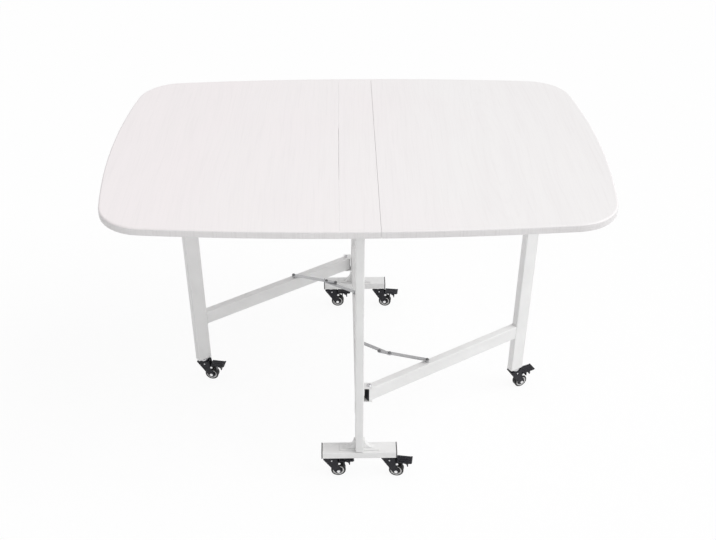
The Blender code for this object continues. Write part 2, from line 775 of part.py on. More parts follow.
def stem_mesh():
    """The fixed stem, its flange and race, and the headed pin that the yoke hangs on."""
    pin_end = CROWN_BOTTOM - RUNNING_GAP - KING_PIN_HEAD_HEIGHT
    profile = [
        (KING_PIN_HEAD_RADIUS, pin_end),
        (KING_PIN_HEAD_RADIUS, CROWN_BOTTOM - RUNNING_GAP),
        (STEM_RADIUS, CROWN_BOTTOM - RUNNING_GAP),
        (STEM_RADIUS, CROWN_TOP + RUNNING_GAP),
        (RACE_RADIUS, CROWN_TOP + RUNNING_GAP),
        (RACE_RADIUS, RACE_TOP),
        (FLANGE_RADIUS, RACE_TOP),
        (FLANGE_RADIUS, CASTER_HEIGHT - GAP),
        (STEM_RADIUS, CASTER_HEIGHT - GAP),
        (STEM_RADIUS, CASTER_HEIGHT + STEM_RISE),
    ]
    return turned_mesh("stem", profile, ROUND_SIDES)


def yoke_outline():
    """Side view of a yoke wall: a sloped nose, a round tip at the axle, and an ear for the pedal's pivot."""
    tip = arc((CASTER_TRAIL, WHEEL_RADIUS), YOKE_TIP_RADIUS, math.radians(205), math.radians(380), 8)
    ear_radius = PEDAL_BOSS_RADIUS
    ear = arc((PEDAL_PIVOT_X, PEDAL_PIVOT_Z), ear_radius, -math.pi / 2, math.pi / 2, 5)
    return [
        (-YOKE_NOSE, CROWN_TOP),
        (-YOKE_NOSE, CROWN_BOTTOM),
        *tip,
        (CASTER_TRAIL + YOKE_WAIST_FORWARD, WHEEL_RADIUS + YOKE_WAIST_RISE),
        *ear,
        (YOKE_CROWN_REACH + YOKE_WALL, PEDAL_PIVOT_Z + ear_radius),
        (YOKE_CROWN_REACH, CROWN_TOP),
    ]


def yoke_mesh():
    outline = yoke_outline()
    walls = []
    for low, high in ((YOKE_INNER, YOKE_OUTER), (-YOKE_OUTER, -YOKE_INNER)):
        walls.append(prism_mesh("wall", outline, low, high, "XZ"))
    crown_low = (-YOKE_NOSE + YOKE_WALL / 2, -YOKE_INNER - YOKE_WALL / 2, CROWN_BOTTOM)
    crown_high = (YOKE_CROWN_REACH - YOKE_WALL / 2, YOKE_INNER + YOKE_WALL / 2, CROWN_TOP - GAP / 3)
    crown = box_mesh("crown", crown_low, crown_high)
    axle = axle_mesh()
    axle.transform(Matrix.Translation((CASTER_TRAIL, 0, WHEEL_RADIUS)))
    body = combined("yoke", crown, [*walls, axle], "UNION")
    bore = STEM_RADIUS + RUNNING_GAP
    span = [(bore, CROWN_BOTTOM - YOKE_CROWN), (bore, CROWN_TOP + YOKE_CROWN)]
    cutters = [turned_mesh("hole", span, ROUND_SIDES)]
    radius = PEDAL_PIVOT_RADIUS + RUNNING_GAP
    hole = turned_mesh("hole", [(radius, -2 * YOKE_OUTER), (radius, 2 * YOKE_OUTER)], SMALL_SIDES, "Y")
    cutters.append(moved(hole, (PEDAL_PIVOT_X, 0, PEDAL_PIVOT_Z)))
    return combined("yoke", body, cutters, "DIFFERENCE")


def wheel_mesh():
    """Tyre and dished hub, turned about its own axle."""
    half = WHEEL_WIDTH / 2
    bore = AXLE_RADIUS + RUNNING_GAP
    dish = half - HUB_RECESS
    profile = [
        (HUB_BOSS_RADIUS, -half),
        (HUB_BOSS_RADIUS + HUB_RECESS, -dish),
        (HUB_RADIUS - HUB_RECESS, -dish),
        (HUB_RADIUS, -half),
        (WHEEL_RADIUS - WHEEL_SHOULDER, -half),
        (WHEEL_RADIUS, -half + WHEEL_SHOULDER),
        (WHEEL_RADIUS, half - WHEEL_SHOULDER),
        (WHEEL_RADIUS - WHEEL_SHOULDER, half),
        (HUB_RADIUS, half),
        (HUB_RADIUS - HUB_RECESS, dish),
        (HUB_BOSS_RADIUS + HUB_RECESS, dish),
        (HUB_BOSS_RADIUS, half),
    ]
    solid = turned_mesh("wheel", profile, FINE_SIDES, "Y")
    hole = turned_mesh("hole", [(bore, -WHEEL_WIDTH), (bore, WHEEL_WIDTH)], SMALL_SIDES, "Y")
    return combined("wheel", solid, [hole], "DIFFERENCE")


def axle_mesh():
    """The axle, riveted into both walls of the yoke."""
    seat = YOKE_OUTER - YOKE_WALL / 2
    end = YOKE_OUTER + AXLE_HEAD_THICKNESS
    profile = [
        (AXLE_HEAD_RADIUS, -end),
        (AXLE_HEAD_RADIUS, -seat),
        (AXLE_RADIUS, -seat),
        (AXLE_RADIUS, seat),
        (AXLE_HEAD_RADIUS, seat),
        (AXLE_HEAD_RADIUS, end),
    ]
    return turned_mesh("axle", profile, SMALL_SIDES, "Y")


def brake_shoe_outline():
    """A strut that hangs from the pedal plate, hollowed at its end to face the tread."""
    axle = (CASTER_TRAIL - PEDAL_PIVOT_X, WHEEL_RADIUS - PEDAL_PIVOT_Z)
    way = math.radians(BRAKE_SHOE_BEARING_DEG)
    half = math.radians(BRAKE_SHOE_SPREAD_DEG) / 2
    face = arc(axle, WHEEL_RADIUS + BRAKE_GAP, way - half, way + half, 3)
    root = PEDAL_LOW + PEDAL_THICKNESS / 2
    return [*face, (face[-1][0], root), (face[0][0], root)]


def pedal_outline():
    """Side view of the pedal plate above the yoke's ears, flat and then curled up at its end."""
    centre = (PEDAL_LENGTH - PEDAL_CURL, PEDAL_LOW + PEDAL_CURL)
    end = -math.pi / 2 + math.radians(PEDAL_CURL_TURN_DEG)
    outer = arc(centre, PEDAL_CURL, -math.pi / 2, end, 4)
    inner = arc(centre, PEDAL_CURL - PEDAL_THICKNESS, end, -math.pi / 2, 4)
    return [(-PEDAL_BACK, PEDAL_LOW), *outer, *inner, (-PEDAL_BACK, PEDAL_LOW + PEDAL_THICKNESS)]


def pedal_mesh():
    """The brake pedal in its own frame: the pivot is the origin. A shoe and a toe hang from its plate."""
    inner = YOKE_INNER - WHEEL_SIDE_GAP / 2
    root = PEDAL_LOW + PEDAL_THICKNESS / 2
    boss = turned_mesh("boss", [(PEDAL_BOSS_RADIUS, -inner), (PEDAL_BOSS_RADIUS, inner)], ROUND_SIDES, "Y")
    stub_ends = [(PEDAL_PIVOT_RADIUS, -YOKE_OUTER), (PEDAL_PIVOT_RADIUS, YOKE_OUTER)]
    stub = turned_mesh("stub", stub_ends, SMALL_SIDES, "Y")
    shoe = prism_mesh("shoe", brake_shoe_outline(), -WHEEL_WIDTH / 2, WHEEL_WIDTH / 2, "XZ")
    neck = box_mesh("neck", (-PEDAL_BACK / 2, -inner, 0.0), (PEDAL_BOSS_RADIUS * 0.7, inner, root))
    toe_low = (PEDAL_TOE_STATION, -PEDAL_TOE_WIDTH / 2, PEDAL_LOW - PEDAL_TOE_DROP)
    toe_high = (PEDAL_TOE_STATION + PEDAL_TOE_THICKNESS, PEDAL_TOE_WIDTH / 2, root)
    toe = box_mesh("toe", toe_low, toe_high)
    tread = prism_mesh("tread", pedal_outline(), -PEDAL_WIDTH / 2, PEDAL_WIDTH / 2, "XZ")
    return combined("pedal", boss, [stub, neck, tread, shoe, toe], "UNION")


def build_caster(finish, name, meshes, location, turn, parent):
    swivel = pivot("swivel_" + name, location, turn, parent)
    axle_place = (CASTER_TRAIL, 0, WHEEL_RADIUS)
    place("caster_stem_" + name, meshes["stem"].copy(), finish["zinc"], parent, location)
    place("caster_yoke_" + name, meshes["yoke"].copy(), finish["black"], swivel)
    place("caster_wheel_" + name, meshes["wheel"].copy(), finish["wheel"], swivel, axle_place)
    pedal_place = (PEDAL_PIVOT_X, 0, PEDAL_PIVOT_Z)
    place("caster_pedal_" + name, meshes["pedal"].copy(), finish["black"], swivel, pedal_place)


def build_casters(finish, gates):
    meshes = {"stem": stem_mesh(), "yoke": yoke_mesh(), "wheel": wheel_mesh(), "pedal": pedal_mesh()}
    for end, y_sign in (("front", -1), ("rear", 1)):
        for side, x in caster_stations().items():
            name = end + "_" + side
            at = (x, y_sign * POST_STATION, 0)
            build_caster(finish, name, meshes, at, math.radians(CASTER_ANGLES_DEG[name]), None)
    for side, gate in gates.items():
        name = "gate_" + side
        at = (GATE_REACH, 0, 0)
        turn = math.radians(CASTER_ANGLES_DEG[name]) - gate_turn(side)
        build_caster(finish, name, meshes, at, turn, gate)


def main():
    clear_scene()
    finish = finishes()
    leaf_pivots = {
        "right": pivot("leaf_pivot_right", (HINGE_AXIS_X, 0, HINGE_AXIS_Z)),
        "left": pivot("leaf_pivot_left", (-HINGE_AXIS_X, 0, HINGE_AXIS_Z), math.pi),
    }
    gates = {}
    for side in ("right", "left"):
        gates[side] = pivot("gate_pivot_" + side, gate_pin_place(side), gate_turn(side))
    bpy.context.view_layer.update()
    build_top(finish, leaf_pivots)
    build_hinges(finish, leaf_pivots)
    build_posts(finish)
    build_stretcher(finish)
    build_top_rail(finish)
    build_feet(finish)
    build_gate_brackets(finish)
    for side, gate in gates.items():
        build_gate(finish, side, gate)
    build_stays(finish, gates)
    build_casters(finish, gates)


main()
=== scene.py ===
"""Looks of the folding dining table: white grained boards, a powder-coated frame and black casters."""

import json
import math

import bmesh
import bpy
from mathutils import Matrix, Vector


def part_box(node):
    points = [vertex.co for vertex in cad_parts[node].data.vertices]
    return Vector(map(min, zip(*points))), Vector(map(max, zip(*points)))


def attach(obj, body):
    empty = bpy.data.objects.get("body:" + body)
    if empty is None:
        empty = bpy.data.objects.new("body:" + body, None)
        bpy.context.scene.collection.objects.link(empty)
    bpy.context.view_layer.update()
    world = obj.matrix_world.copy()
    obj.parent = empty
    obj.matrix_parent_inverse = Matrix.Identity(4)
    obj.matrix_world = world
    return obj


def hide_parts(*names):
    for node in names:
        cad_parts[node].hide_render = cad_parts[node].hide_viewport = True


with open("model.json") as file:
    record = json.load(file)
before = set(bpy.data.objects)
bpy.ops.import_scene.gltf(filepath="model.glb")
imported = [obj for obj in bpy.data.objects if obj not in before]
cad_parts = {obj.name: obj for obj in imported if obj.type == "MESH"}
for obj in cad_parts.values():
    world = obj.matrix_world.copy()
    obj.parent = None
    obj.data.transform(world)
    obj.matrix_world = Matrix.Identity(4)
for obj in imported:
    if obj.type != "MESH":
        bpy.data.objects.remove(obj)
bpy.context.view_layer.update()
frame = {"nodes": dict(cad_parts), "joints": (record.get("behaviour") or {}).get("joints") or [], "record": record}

# Photograph and camera
IMAGE_WIDTH = 716
FOCAL_LENGTH_IN_PIXELS = 996.7
OPTICAL_CENTRE_BELOW_MIDDLE = 28.47
SENSOR_WIDTH = 36.0
CAMERA_PLACE = (-0.0408, -2.2005, 1.8821)
CAMERA_YAW = 0.0201
CAMERA_PITCH = 0.6261
CAMERA_ROLL = 0.0025

# Studio
FLOOR_SIZE = 14.0
FLOOR_COLOUR = (0.94, 0.94, 0.94, 1.0)
FLOOR_ROUGHNESS = 0.9
FLOOR_GLOW = 0.92
WHITE = (1.0, 1.0, 1.0, 1.0)
SKY_STRENGTH = 0.64
SKY_LEAN = 0.30
KEY_WAY = (0.66, -0.12, 0.74)
KEY_STRENGTH = 1.27
KEY_SPREAD = math.radians(40)
FRONT_PLACE = (0.2, -1.1, 2.7)
FRONT_TARGET = (0.0, 0.0, 0.75)
FRONT_SIZE = 0.8
FRONT_POWER = 4.0

# Eased edges
MERGE_DISTANCE = 0.00001
FLAT_ANGLE = math.radians(0.3)
SHARP_ANGLE = math.radians(50)
SMOOTH_ANGLE = math.radians(38)
FLAT_FACE_WEIGHT = 80
EASE_SEGMENTS = 2
FINE_SEGMENTS = 3
ROUND_SEGMENTS = 4
BOARD_EASE = 0.0004
SEAM_EASE = 0.0010
SEAM_REACH = 0.06
# Faces steeper than this take the greyer band, painted shade on the board edges
EDGE_BAND_PAINTED_SHADE_TILT = 0.35
TUBE_EASE = 0.0003
PLATE_EASE = 0.0004
STRIP_STEEL_EASE = 0.0003
MOULDED_EASE = 0.0004
CAP_EASE = 0.0007

# Steel tube section and weld beads
TUBE_WIDE = 0.040
TUBE_THIN = 0.020
TUBE_CORNER = 0.0025
BEAD_RADIUS = 0.0011
BEAD_CUTS = 18
BEAD_RESOLUTION = 3
BEAD_RIPPLE = 0.0005
BEAD_RIPPLE_SIZE = 0.0035
BEAD_RIPPLE_MIDDLE = 0.6

# Stays, screws, rivets and bolts. SINK is how deep a small piece sits in another, and a test's slack
SINK = 0.0002
STAY_THICKNESS = 0.0025
STAY_HEAD_HEIGHT = 0.0025
HINGE_PLATE_THICKNESS = 0.0018
SCREW_RADIUS = 0.0036
SCREW_SIDES = 24
SCREW_HEIGHT = 0.0010
SCREW_ROUNDING = 0.6 * SCREW_HEIGHT
SCREW_SLOT_LENGTH = 0.0042
SCREW_SLOT_WIDTH = 0.0009
SCREW_SLOT_DEPTH = 0.0006
SCREW_SHIFT_SHARE = 0.1
SCREW_STATIONS = (-0.104, -0.036, 0.036, 0.104)
RAIL_SCREW_STATIONS = (-0.26, 0.0, 0.26)
RIVET_RADIUS = 0.0022
RIVET_SIDES = 20
RIVET_HEIGHT = 0.0012
RIVET_ROUNDING = 0.9 * RIVET_HEIGHT
BOLT_SOCKET_RADIUS = 0.0026
BOLT_SOCKET_SIDES = 6
BOLT_SOCKET_DEPTH = 0.0018

# Casters, in a frame with the swivel axis as origin and +X the way the wheel trails
CASTERS = ("front_left", "front_right", "rear_left", "rear_right", "gate_right", "gate_left")
WHEEL_RADIUS = 0.019
WHEEL_WIDTH = 0.017
WHEEL_SHOULDER = 0.0025
WHEEL_SIDES = 48
TREAD_TILT = 0.1
SIDE_FACING = 0.9
DISH_FACING = 0.99
HUB_RING_RADIUS = 0.0142
HUB_RADIUS = 0.0128
HUB_RECESS = 0.002
HUB_BOSS_RADIUS = 0.006
HUB_POCKETS = 6
HUB_POCKET_SPAN = (0.15, 0.85)
HUB_POCKET_DEPTH = 0.0012
HUB_POCKET_EDGE = 0.0003
AXLE_BORE = 0.0028
GROOVE_EDGE = 0.0045
GROOVE_WALL = 0.0004
GROOVE_DEPTH = 0.0005
YOKE_OUTER = 0.0115
YOKE_RIVET_FORWARD = 0.004
YOKE_RIVET_HEIGHT = 0.056
PIVOT_RIVET_SCALE = 1.55
PIVOT_RIVET_LIFT = 0.0003
PEDAL_TOP = 0.0085
PEDAL_UNDER = 0.0055
PEDAL_RIB_FORWARD = 0.018
PEDAL_RIB_OFFSETS = (-0.0072, 0.0, 0.0072)
PEDAL_RIB_SIZE = (0.026, 0.0026, 0.0009)
PEDAL_RIB_EASE = 0.0004
TOE_FORWARD = 0.0255
TOE_WEB_SIZE = (0.008, 0.010, 0.016)
TOE_WEB_HOLLOW = 0.0075
TOE_WEB_PROFILE = 0.08
TOE_WEB_SEGMENTS = 6

# Patterns: a stretch below 1 draws noise out along an axis, and limits are where it starts and is full
UNIT = (0.0, 1.0)
NOISE_MIDDLE = 0.5
GRAIN_WANDER_STRETCH = (2.2, 1.1, 2.2)
GRAIN_WANDER = 0.12
GRAIN_BAND_STRETCH = (1.0, 0.05, 1.0)
GRAIN_BAND_LIMITS = (0.42, 0.66)
GRAIN_PORE_STRETCH = (1.0, 0.025, 1.0)
GRAIN_PORE_FINENESS = 5.0
GRAIN_PORE_LIMITS = (0.50, 0.72)
ARCH_STRETCH = (1.0, 0.16, 0.0)
ARCH_WAVE = {"Distortion": 2.2, "Detail": 3.0, "Detail_Scale": 1.4}
ARCH_LIMITS = (0.72, 1.0)
GRIT_LIMITS = (0.3, 0.7)
PATCH_COARSENESS = 0.012
PATCH_LIMITS = (0.35, 0.68)
DUST_CLOUD_SCALE = 90.0
DUST_CLOUD_LIMITS = (0.40, 0.70)
RUB_STRETCH = (1.0, 0.25, 0.35)
RUB_LIMITS = (0.60, 0.76)
RUB_PLACE_SCALE = 9.0
RUB_PLACE_LIMITS = (0.45, 0.65)

# Foil of the boards
FOIL_LEFT = (0.868, 0.822, 0.830)
FOIL_RIGHT = (0.872, 0.854, 0.853)
FOIL_CAST_LIMITS = (-0.35, 0.30)
FOIL_CAST_SCALE = 2.4
FOIL_GRAIN_SCALE = 40.0
FOIL_BANDS = {"share": 0.22, "colour": (0.815, 0.785, 0.790)}
FOIL_PORES = {"share": 0.26, "colour": (0.765, 0.735, 0.740)}
FOIL_ARCH_PLACE = (-0.33, 0.055, 0.0)
FOIL_ARCH_SCALE = 26.0
FOIL_ARCHES = {"share": 0.10, "colour": (0.760, 0.735, 0.735)}
FOIL_ROUGHNESS = (0.40, 0.52)
FOIL_BUMP = {"strength": 0.10, "depth": 0.0003}

# Band round the boards, greyer than the foil partly as painted shade on their upright faces
BAND_SHADED_DARK = (0.765, 0.748, 0.750)
BAND_SHADED_PALE = (0.805, 0.790, 0.792)
BAND_GRIT_SCALE = 500.0
BAND_LINE_STRETCH = (1.0, 1.0, 0.04)
BAND_LINE_SCALE = 260.0
BAND_LINE_LIMITS = (0.48, 0.70)
BAND_LINES = {"share": 0.45, "colour": (0.680, 0.660, 0.662)}
BAND_ROUGHNESS = (0.42, 0.54)
BAND_BUMP = {"strength": 0.08, "depth": 0.0002}

# Powder coat of the frame and the gates
PAINT_DARK = (0.800, 0.800, 0.796)
PAINT_PALE = (0.845, 0.845, 0.842)
PAINT_GRIT_SCALE = 900.0
PAINT_RUB_SCALE = 60.0
PAINT_RUBBING = {"share": 0.35, "colour": (0.700, 0.700, 0.695)}
PAINT_DUST_HEIGHT = 0.16
PAINT_DUST = {"share": 0.10, "colour": (0.640, 0.620, 0.590)}
PAINT_ROUGHNESS = (0.30, 0.44)
PAINT_BUMP = {"strength": 0.12, "depth": 0.0002}

# Finishes of the small pieces: the plain colour, the worn or dull one, and the range of roughness
PLASTIC_GRIT_SCALE = 1500.0
PLASTIC_PATCH_SHARE = 0.15
PLASTIC_RUB_SCALE = 240.0
PLASTIC_RUB_SHARE = 0.35
PLASTIC_DUST_HEIGHT = 0.075
PLASTIC_DUST_COLOUR = (0.300, 0.290, 0.275)
PLASTIC_BUMP = {"strength": 0.16, "depth": 0.0002}
PLASTICS = {
    "black": {
        "name": "black_moulded_plastic",
        "colour": (0.010, 0.010, 0.015),
        "worn": (0.034, 0.034, 0.041),
        "roughness": (0.18, 0.30),
        "dust_share": 0.06,
        "gloss": 0.24,
    },
    "tyre": {
        "name": "black_tyre",
        "colour": (0.014, 0.014, 0.015),
        "worn": (0.040, 0.039, 0.038),
        "roughness": (0.45, 0.62),
        "dust_share": 0.18,
        "gloss": 0.20,
    },
    # The pale ring round the hub's dish is a painted highlight on the wheel's side
    "hub": {
        "name": "pale_hub_painted_highlight",
        "colour": (0.800, 0.800, 0.795),
        "worn": (0.640, 0.640, 0.635),
        "roughness": (0.30, 0.45),
        "dust_share": 0.15,
        "gloss": 0.50,
    },
    "cap": {
        "name": "dark_cap_plastic",
        "colour": (0.070, 0.070, 0.075),
        "worn": (0.130, 0.130, 0.135),
        "roughness": (0.42, 0.58),
        "dust_share": 0.15,
        "gloss": 0.40,
    },
}
METAL_SHARE = 0.9
METAL_GRIT_SCALE = 700.0
METAL_LINE_SCALE = 900.0
METAL_LINE_LIMITS = (0.45, 0.75)
METAL_LINE_SHARE = 0.4
METAL_BUMP = {"strength": 0.06, "depth": 0.0001}
METALS = {
    "zinc": {
        "name": "zinc_plating",
        "colour": (0.680, 0.680, 0.690),
        "dull": (0.560, 0.560, 0.575),
        "roughness": (0.24, 0.40),
        "streaks": (1, 1, 0.1),
    },
    "bright": {
        "name": "bright_nickel_plating",
        "colour": (0.880, 0.880, 0.885),
        "dull": (0.780, 0.780, 0.790),
        "roughness": (0.24, 0.38),
        "streaks": (1, 1, 0.1),
    },
    "stay": {
        "name": "grey_strip_steel",
        "colour": (0.530, 0.530, 0.540),
        "dull": (0.420, 0.420, 0.430),
        "roughness": (0.30, 0.46),
        "streaks": (0.2, 0.2, 1),
    },
    "rivet": {
        "name": "dark_rivet_steel",
        "colour": (0.200, 0.200, 0.205),
        "dull": (0.140, 0.140, 0.145),
        "roughness": (0.34, 0.50),
        "streaks": (1, 1, 1),
    },
}


# Modelling by hand

def work_on(piece):
    """Makes one piece the only selected and active object."""
    bpy.ops.object.select_all(action="DESELECT")
    piece.select_set(True)
    bpy.context.view_layer.objects.active = piece


def open_mesh(piece):
    work_on(piece)
    bpy.ops.object.mode_set(mode="EDIT")


def close_mesh():
    bpy.ops.object.mode_set(mode="OBJECT")


def pick(piece, kind, wanted):
    """Selects the faces or edges of the open mesh that a test accepts."""
    bpy.ops.mesh.select_mode(type=kind)
    bpy.ops.mesh.select_all(action="DESELECT")
    mesh = bmesh.from_edit_mesh(piece.data)
    for part in mesh.faces if kind == "FACE" else mesh.edges:
        if wanted(part):
            part.select_set(True)
    bmesh.update_edit_mesh(piece.data)


def bevel_picked(width, segments):
    bpy.ops.mesh.bevel(offset=width, segments=segments, affect="EDGES", clamp_overlap=True)


def is_sharp(edge):
    return edge.is_manifold and edge.calc_face_angle() > SHARP_ANGLE


def ease_edges(piece, width, segments=EASE_SEGMENTS):
    """Rounds every sharp edge of a piece a little."""
    open_mesh(piece)
    pick(piece, "EDGE", is_sharp)
    bevel_picked(width, segments)
    close_mesh()


def apply_modifier(piece, kind, **settings):
    work_on(piece)
    step = piece.modifiers.new(kind.lower(), kind)
    for name, value in settings.items():
        setattr(step, name, value)
    bpy.ops.object.modifier_apply(modifier=step.name)


def apply_place(piece):
    work_on(piece)
    bpy.ops.object.transform_apply(location=True, rotation=True, scale=True)


def add_block(name, size, middle=(0, 0, 0)):
    bpy.ops.object.select_all(action="DESELECT")
    bpy.ops.mesh.primitive_cube_add(size=1, location=middle)
    piece = bpy.context.object
    piece.name = name
    piece.scale = size
    apply_place(piece)
    return piece


def add_rod(name, radius, length, sides, middle=(0, 0, 0), along="Z"):
    turn = {"Z": (0, 0, 0), "Y": (math.pi / 2, 0, 0)}[along]
    bpy.ops.object.select_all(action="DESELECT")
    sizes = {"vertices": sides, "radius": radius, "depth": length}
    bpy.ops.mesh.primitive_cylinder_add(**sizes, location=middle, rotation=turn)
    piece = bpy.context.object
    piece.name = name
    apply_place(piece)
    return piece


def join(first, *others):
    bpy.ops.object.select_all(action="DESELECT")
    for piece in (first, *others):
        piece.select_set(True)
    bpy.context.view_layer.objects.active = first
    bpy.ops.object.join()
    return first


def cut(piece, cutter):
    apply_modifier(piece, "BOOLEAN", operation="DIFFERENCE", solver="EXACT", object=cutter)
    bpy.data.objects.remove(cutter, do_unlink=True)


def copy_to(model, name, place):
    """A copy of a model with its own mesh, set by a matrix that then goes into the mesh."""
    piece = bpy.data.objects.new(name, model.data.copy())
    bpy.context.scene.collection.objects.link(piece)
    piece.matrix_world = place
    apply_place(piece)
    return piece


def put_away(*models):
    for model in models:
        bpy.data.objects.remove(model, do_unlink=True)


def merged_copy(node):
    """A copy of a CAD node with its triangles merged and its flat faces made whole."""
    piece = bpy.data.objects.new("finished_" + node, frame["nodes"][node].data.copy())
    bpy.context.scene.collection.objects.link(piece)
    piece.data.materials.clear()
    open_mesh(piece)
    bpy.ops.mesh.select_all(action="SELECT")
    bpy.ops.mesh.remove_doubles(threshold=MERGE_DISTANCE)
    bpy.ops.mesh.dissolve_limited(angle_limit=FLAT_ANGLE)
    bpy.ops.mesh.customdata_custom_splitnormals_clear()
    close_mesh()
    return piece


def smooth(piece):
    """Shades the round stretches smooth and keeps the flat ones flat."""
    work_on(piece)
    bpy.ops.object.shade_smooth_by_angle(angle=SMOOTH_ANGLE)
    apply_modifier(piece, "WEIGHTED_NORMAL", keep_sharp=True, weight=FLAT_FACE_WEIGHT)


def hand_over(piece, body, slot, *materials):
    """Paints a finished piece and sets it on its body."""
    smooth(piece)
    for material in materials:
        piece.data.materials.append(material)
    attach(piece, body)


def dress(node, ease, slot, material):
    """The finished piece that stands for a CAD node."""
    piece = merged_copy(node)
    ease_edges(piece, ease)
    hand_over(piece, body_of(node), slot, material)
    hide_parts(node)
    return piece


# Places read from the frame

def body_of(node):
    bodies = frame["record"]["behaviour"]["bodies"]
    return next(body for body, nodes in bodies.items() if node in nodes)


def joint_place(name):
    return Vector(next(joint["pos_m"] for joint in frame["joints"] if joint["name"] == name))


def middle_of(node):
    low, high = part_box(node)
    return (low + high) / 2


def standing(origin, along):
    """A frame on Z with its X axis along a level direction."""
    forward = Vector((along.x, along.y, 0)).normalized()
    across = Vector((-forward.y, forward.x, 0))
    turned = Matrix((forward, across, Vector((0, 0, 1)))).transposed().to_4x4()
    return Matrix.Translation(origin) @ turned


def caster_frame(name):
    swivel = joint_place("swivel_" + name)
    axle = joint_place("wheel_" + name + "_roll")
    return standing(Vector((swivel.x, swivel.y, 0)), axle - swivel)


# Shader building

def add_node(tree, kind, settings=None, **sockets):
    """A shader node with its settings, and its sockets fed by a link or set to a value."""
    made = tree.nodes.new(kind)
    for name, value in (settings or {}).items():
        setattr(made, name, value)
    for name, value in sockets.items():
        socket = made.inputs[name.replace("_", " ")]
        if isinstance(value, bpy.types.NodeSocket):
            tree.links.new(value, socket)
        else:
            socket.default_value = value
    return made


def math_step(tree, operation, first, second):
    made = tree.nodes.new("ShaderNodeMath")
    made.operation = operation
    for socket, value in zip(made.inputs, (first, second)):
        if isinstance(value, bpy.types.NodeSocket):
            tree.links.new(value, socket)
        else:
            socket.default_value = value
    return made.outputs[0]


def blend_colours(tree, share, first, second):
    """Mixes two colours, each a value or a link, by a share that is a link."""
    made = tree.nodes.new("ShaderNodeMix")
    made.data_type = "RGBA"
    tree.links.new(share, made.inputs["Factor"])
    for name, value in (("A", first), ("B", second)):
        socket = next(item for item in made.inputs if item.name == name and item.type == "RGBA")
        if isinstance(value, bpy.types.NodeSocket):
            tree.links.new(value, socket)
        else:
            socket.default_value = (*value, 1.0)
    return next(item for item in made.outputs if item.type == "RGBA")


def tinted(tree, ground, mask, share, colour):
    """A ground colour drawn towards another by a share of a mask."""
    return blend_colours(tree, math_step(tree, "MULTIPLY", mask, share), ground, colour)


def span(tree, value, limits, results=UNIT):
    """Maps a value's range onto another, clamped."""
    low, high = limits
    to_low, to_high = results
    sockets = {"From_Min": low, "From_Max": high, "To_Min": to_low, "To_Max": to_high}
    return add_node(tree, "ShaderNodeMapRange", None, Value=value, **sockets).outputs[0]


def stretched(tree, vector, scale):
    return add_node(tree, "ShaderNodeMapping", None, Vector=vector, Scale=scale).outputs[0]


def noise(tree, vector, scale, detail=3.0, roughness=0.55):
    sockets = {"Scale": scale, "Detail": detail, "Roughness": roughness}
    return add_node(tree, "ShaderNodeTexNoise", None, Vector=vector, **sockets).outputs[0]


def new_group(name, inputs, outputs):
    """An empty node group with named sockets, and its input and output nodes."""
    group = bpy.data.node_groups.new(name, "ShaderNodeTree")
    for socket, kind in inputs:
        group.interface.new_socket(socket, in_out="INPUT", socket_type=kind)
    for socket in outputs:
        group.interface.new_socket(socket, in_out="OUTPUT", socket_type="NodeSocketFloat")
    given = group.nodes.new("NodeGroupInput").outputs
    result = group.nodes.new("NodeGroupOutput").inputs
    return group, given, result


def use_group(tree, group, **sockets):
    return add_node(tree, "ShaderNodeGroup", {"node_tree": group}, **sockets).outputs


def long_grain_group():
    """Grain that runs front to back: broad bands, and fine pore lines that wander a little."""
    inputs = (("Vector", "NodeSocketVector"), ("Scale", "NodeSocketFloat"))
    group, given, result = new_group("long_grain", inputs, ("Bands", "Pores"))
    slow = stretched(group, given["Vector"], GRAIN_WANDER_STRETCH)
    wander = math_step(group, "SUBTRACT", noise(group, slow, scale=1.0, detail=2.0), NOISE_MIDDLE)
    shift = math_step(group, "MULTIPLY", wander, GRAIN_WANDER)
    offset = add_node(group, "ShaderNodeCombineXYZ", None, X=shift).outputs[0]
    added = group.nodes.new("ShaderNodeVectorMath")
    group.links.new(given["Vector"], added.inputs[0])
    group.links.new(offset, added.inputs[1])
    wandering = added.outputs[0]
    bands = noise(group, stretched(group, wandering, GRAIN_BAND_STRETCH), given["Scale"])
    finer = math_step(group, "MULTIPLY", given["Scale"], GRAIN_PORE_FINENESS)
    drawn = stretched(group, wandering, GRAIN_PORE_STRETCH)
    pores = noise(group, drawn, finer, detail=4.0, roughness=0.65)
    group.links.new(span(group, bands, GRAIN_BAND_LIMITS), result["Bands"])
    group.links.new(span(group, pores, GRAIN_PORE_LIMITS), result["Pores"])
    return group


def arch_grain_group():
    """Tall nested arches, as where a plank is cut along its middle."""
    inputs = (("Vector", "NodeSocketVector"), ("Scale", "NodeSocketFloat"))
    group, given, result = new_group("arch_grain", inputs, ("Arches",))
    rings = {"wave_type": "RINGS", "rings_direction": "Z", "wave_profile": "SAW"}
    tall = stretched(group, given["Vector"], ARCH_STRETCH)
    sockets = {"Vector": tall, "Scale": given["Scale"], **ARCH_WAVE}
    wave = add_node(group, "ShaderNodeTexWave", rings, **sockets).outputs[1]
    group.links.new(span(group, wave, ARCH_LIMITS), result["Arches"])
    return group


def fine_grit_group():
    """Even fine grain for the skin of paint and moulded plastic, and slow patches across it."""
    inputs = (("Vector", "NodeSocketVector"), ("Scale", "NodeSocketFloat"))
    group, given, result = new_group("fine_grit", inputs, ("Grit", "Patches"))
    group.links.new(noise(group, given["Vector"], given["Scale"], detail=2.0), result["Grit"])
    slow = math_step(group, "MULTIPLY", given["Scale"], PATCH_COARSENESS)
    patches = noise(group, given["Vector"], slow)
    group.links.new(span(group, patches, PATCH_LIMITS), result["Patches"])
    return group


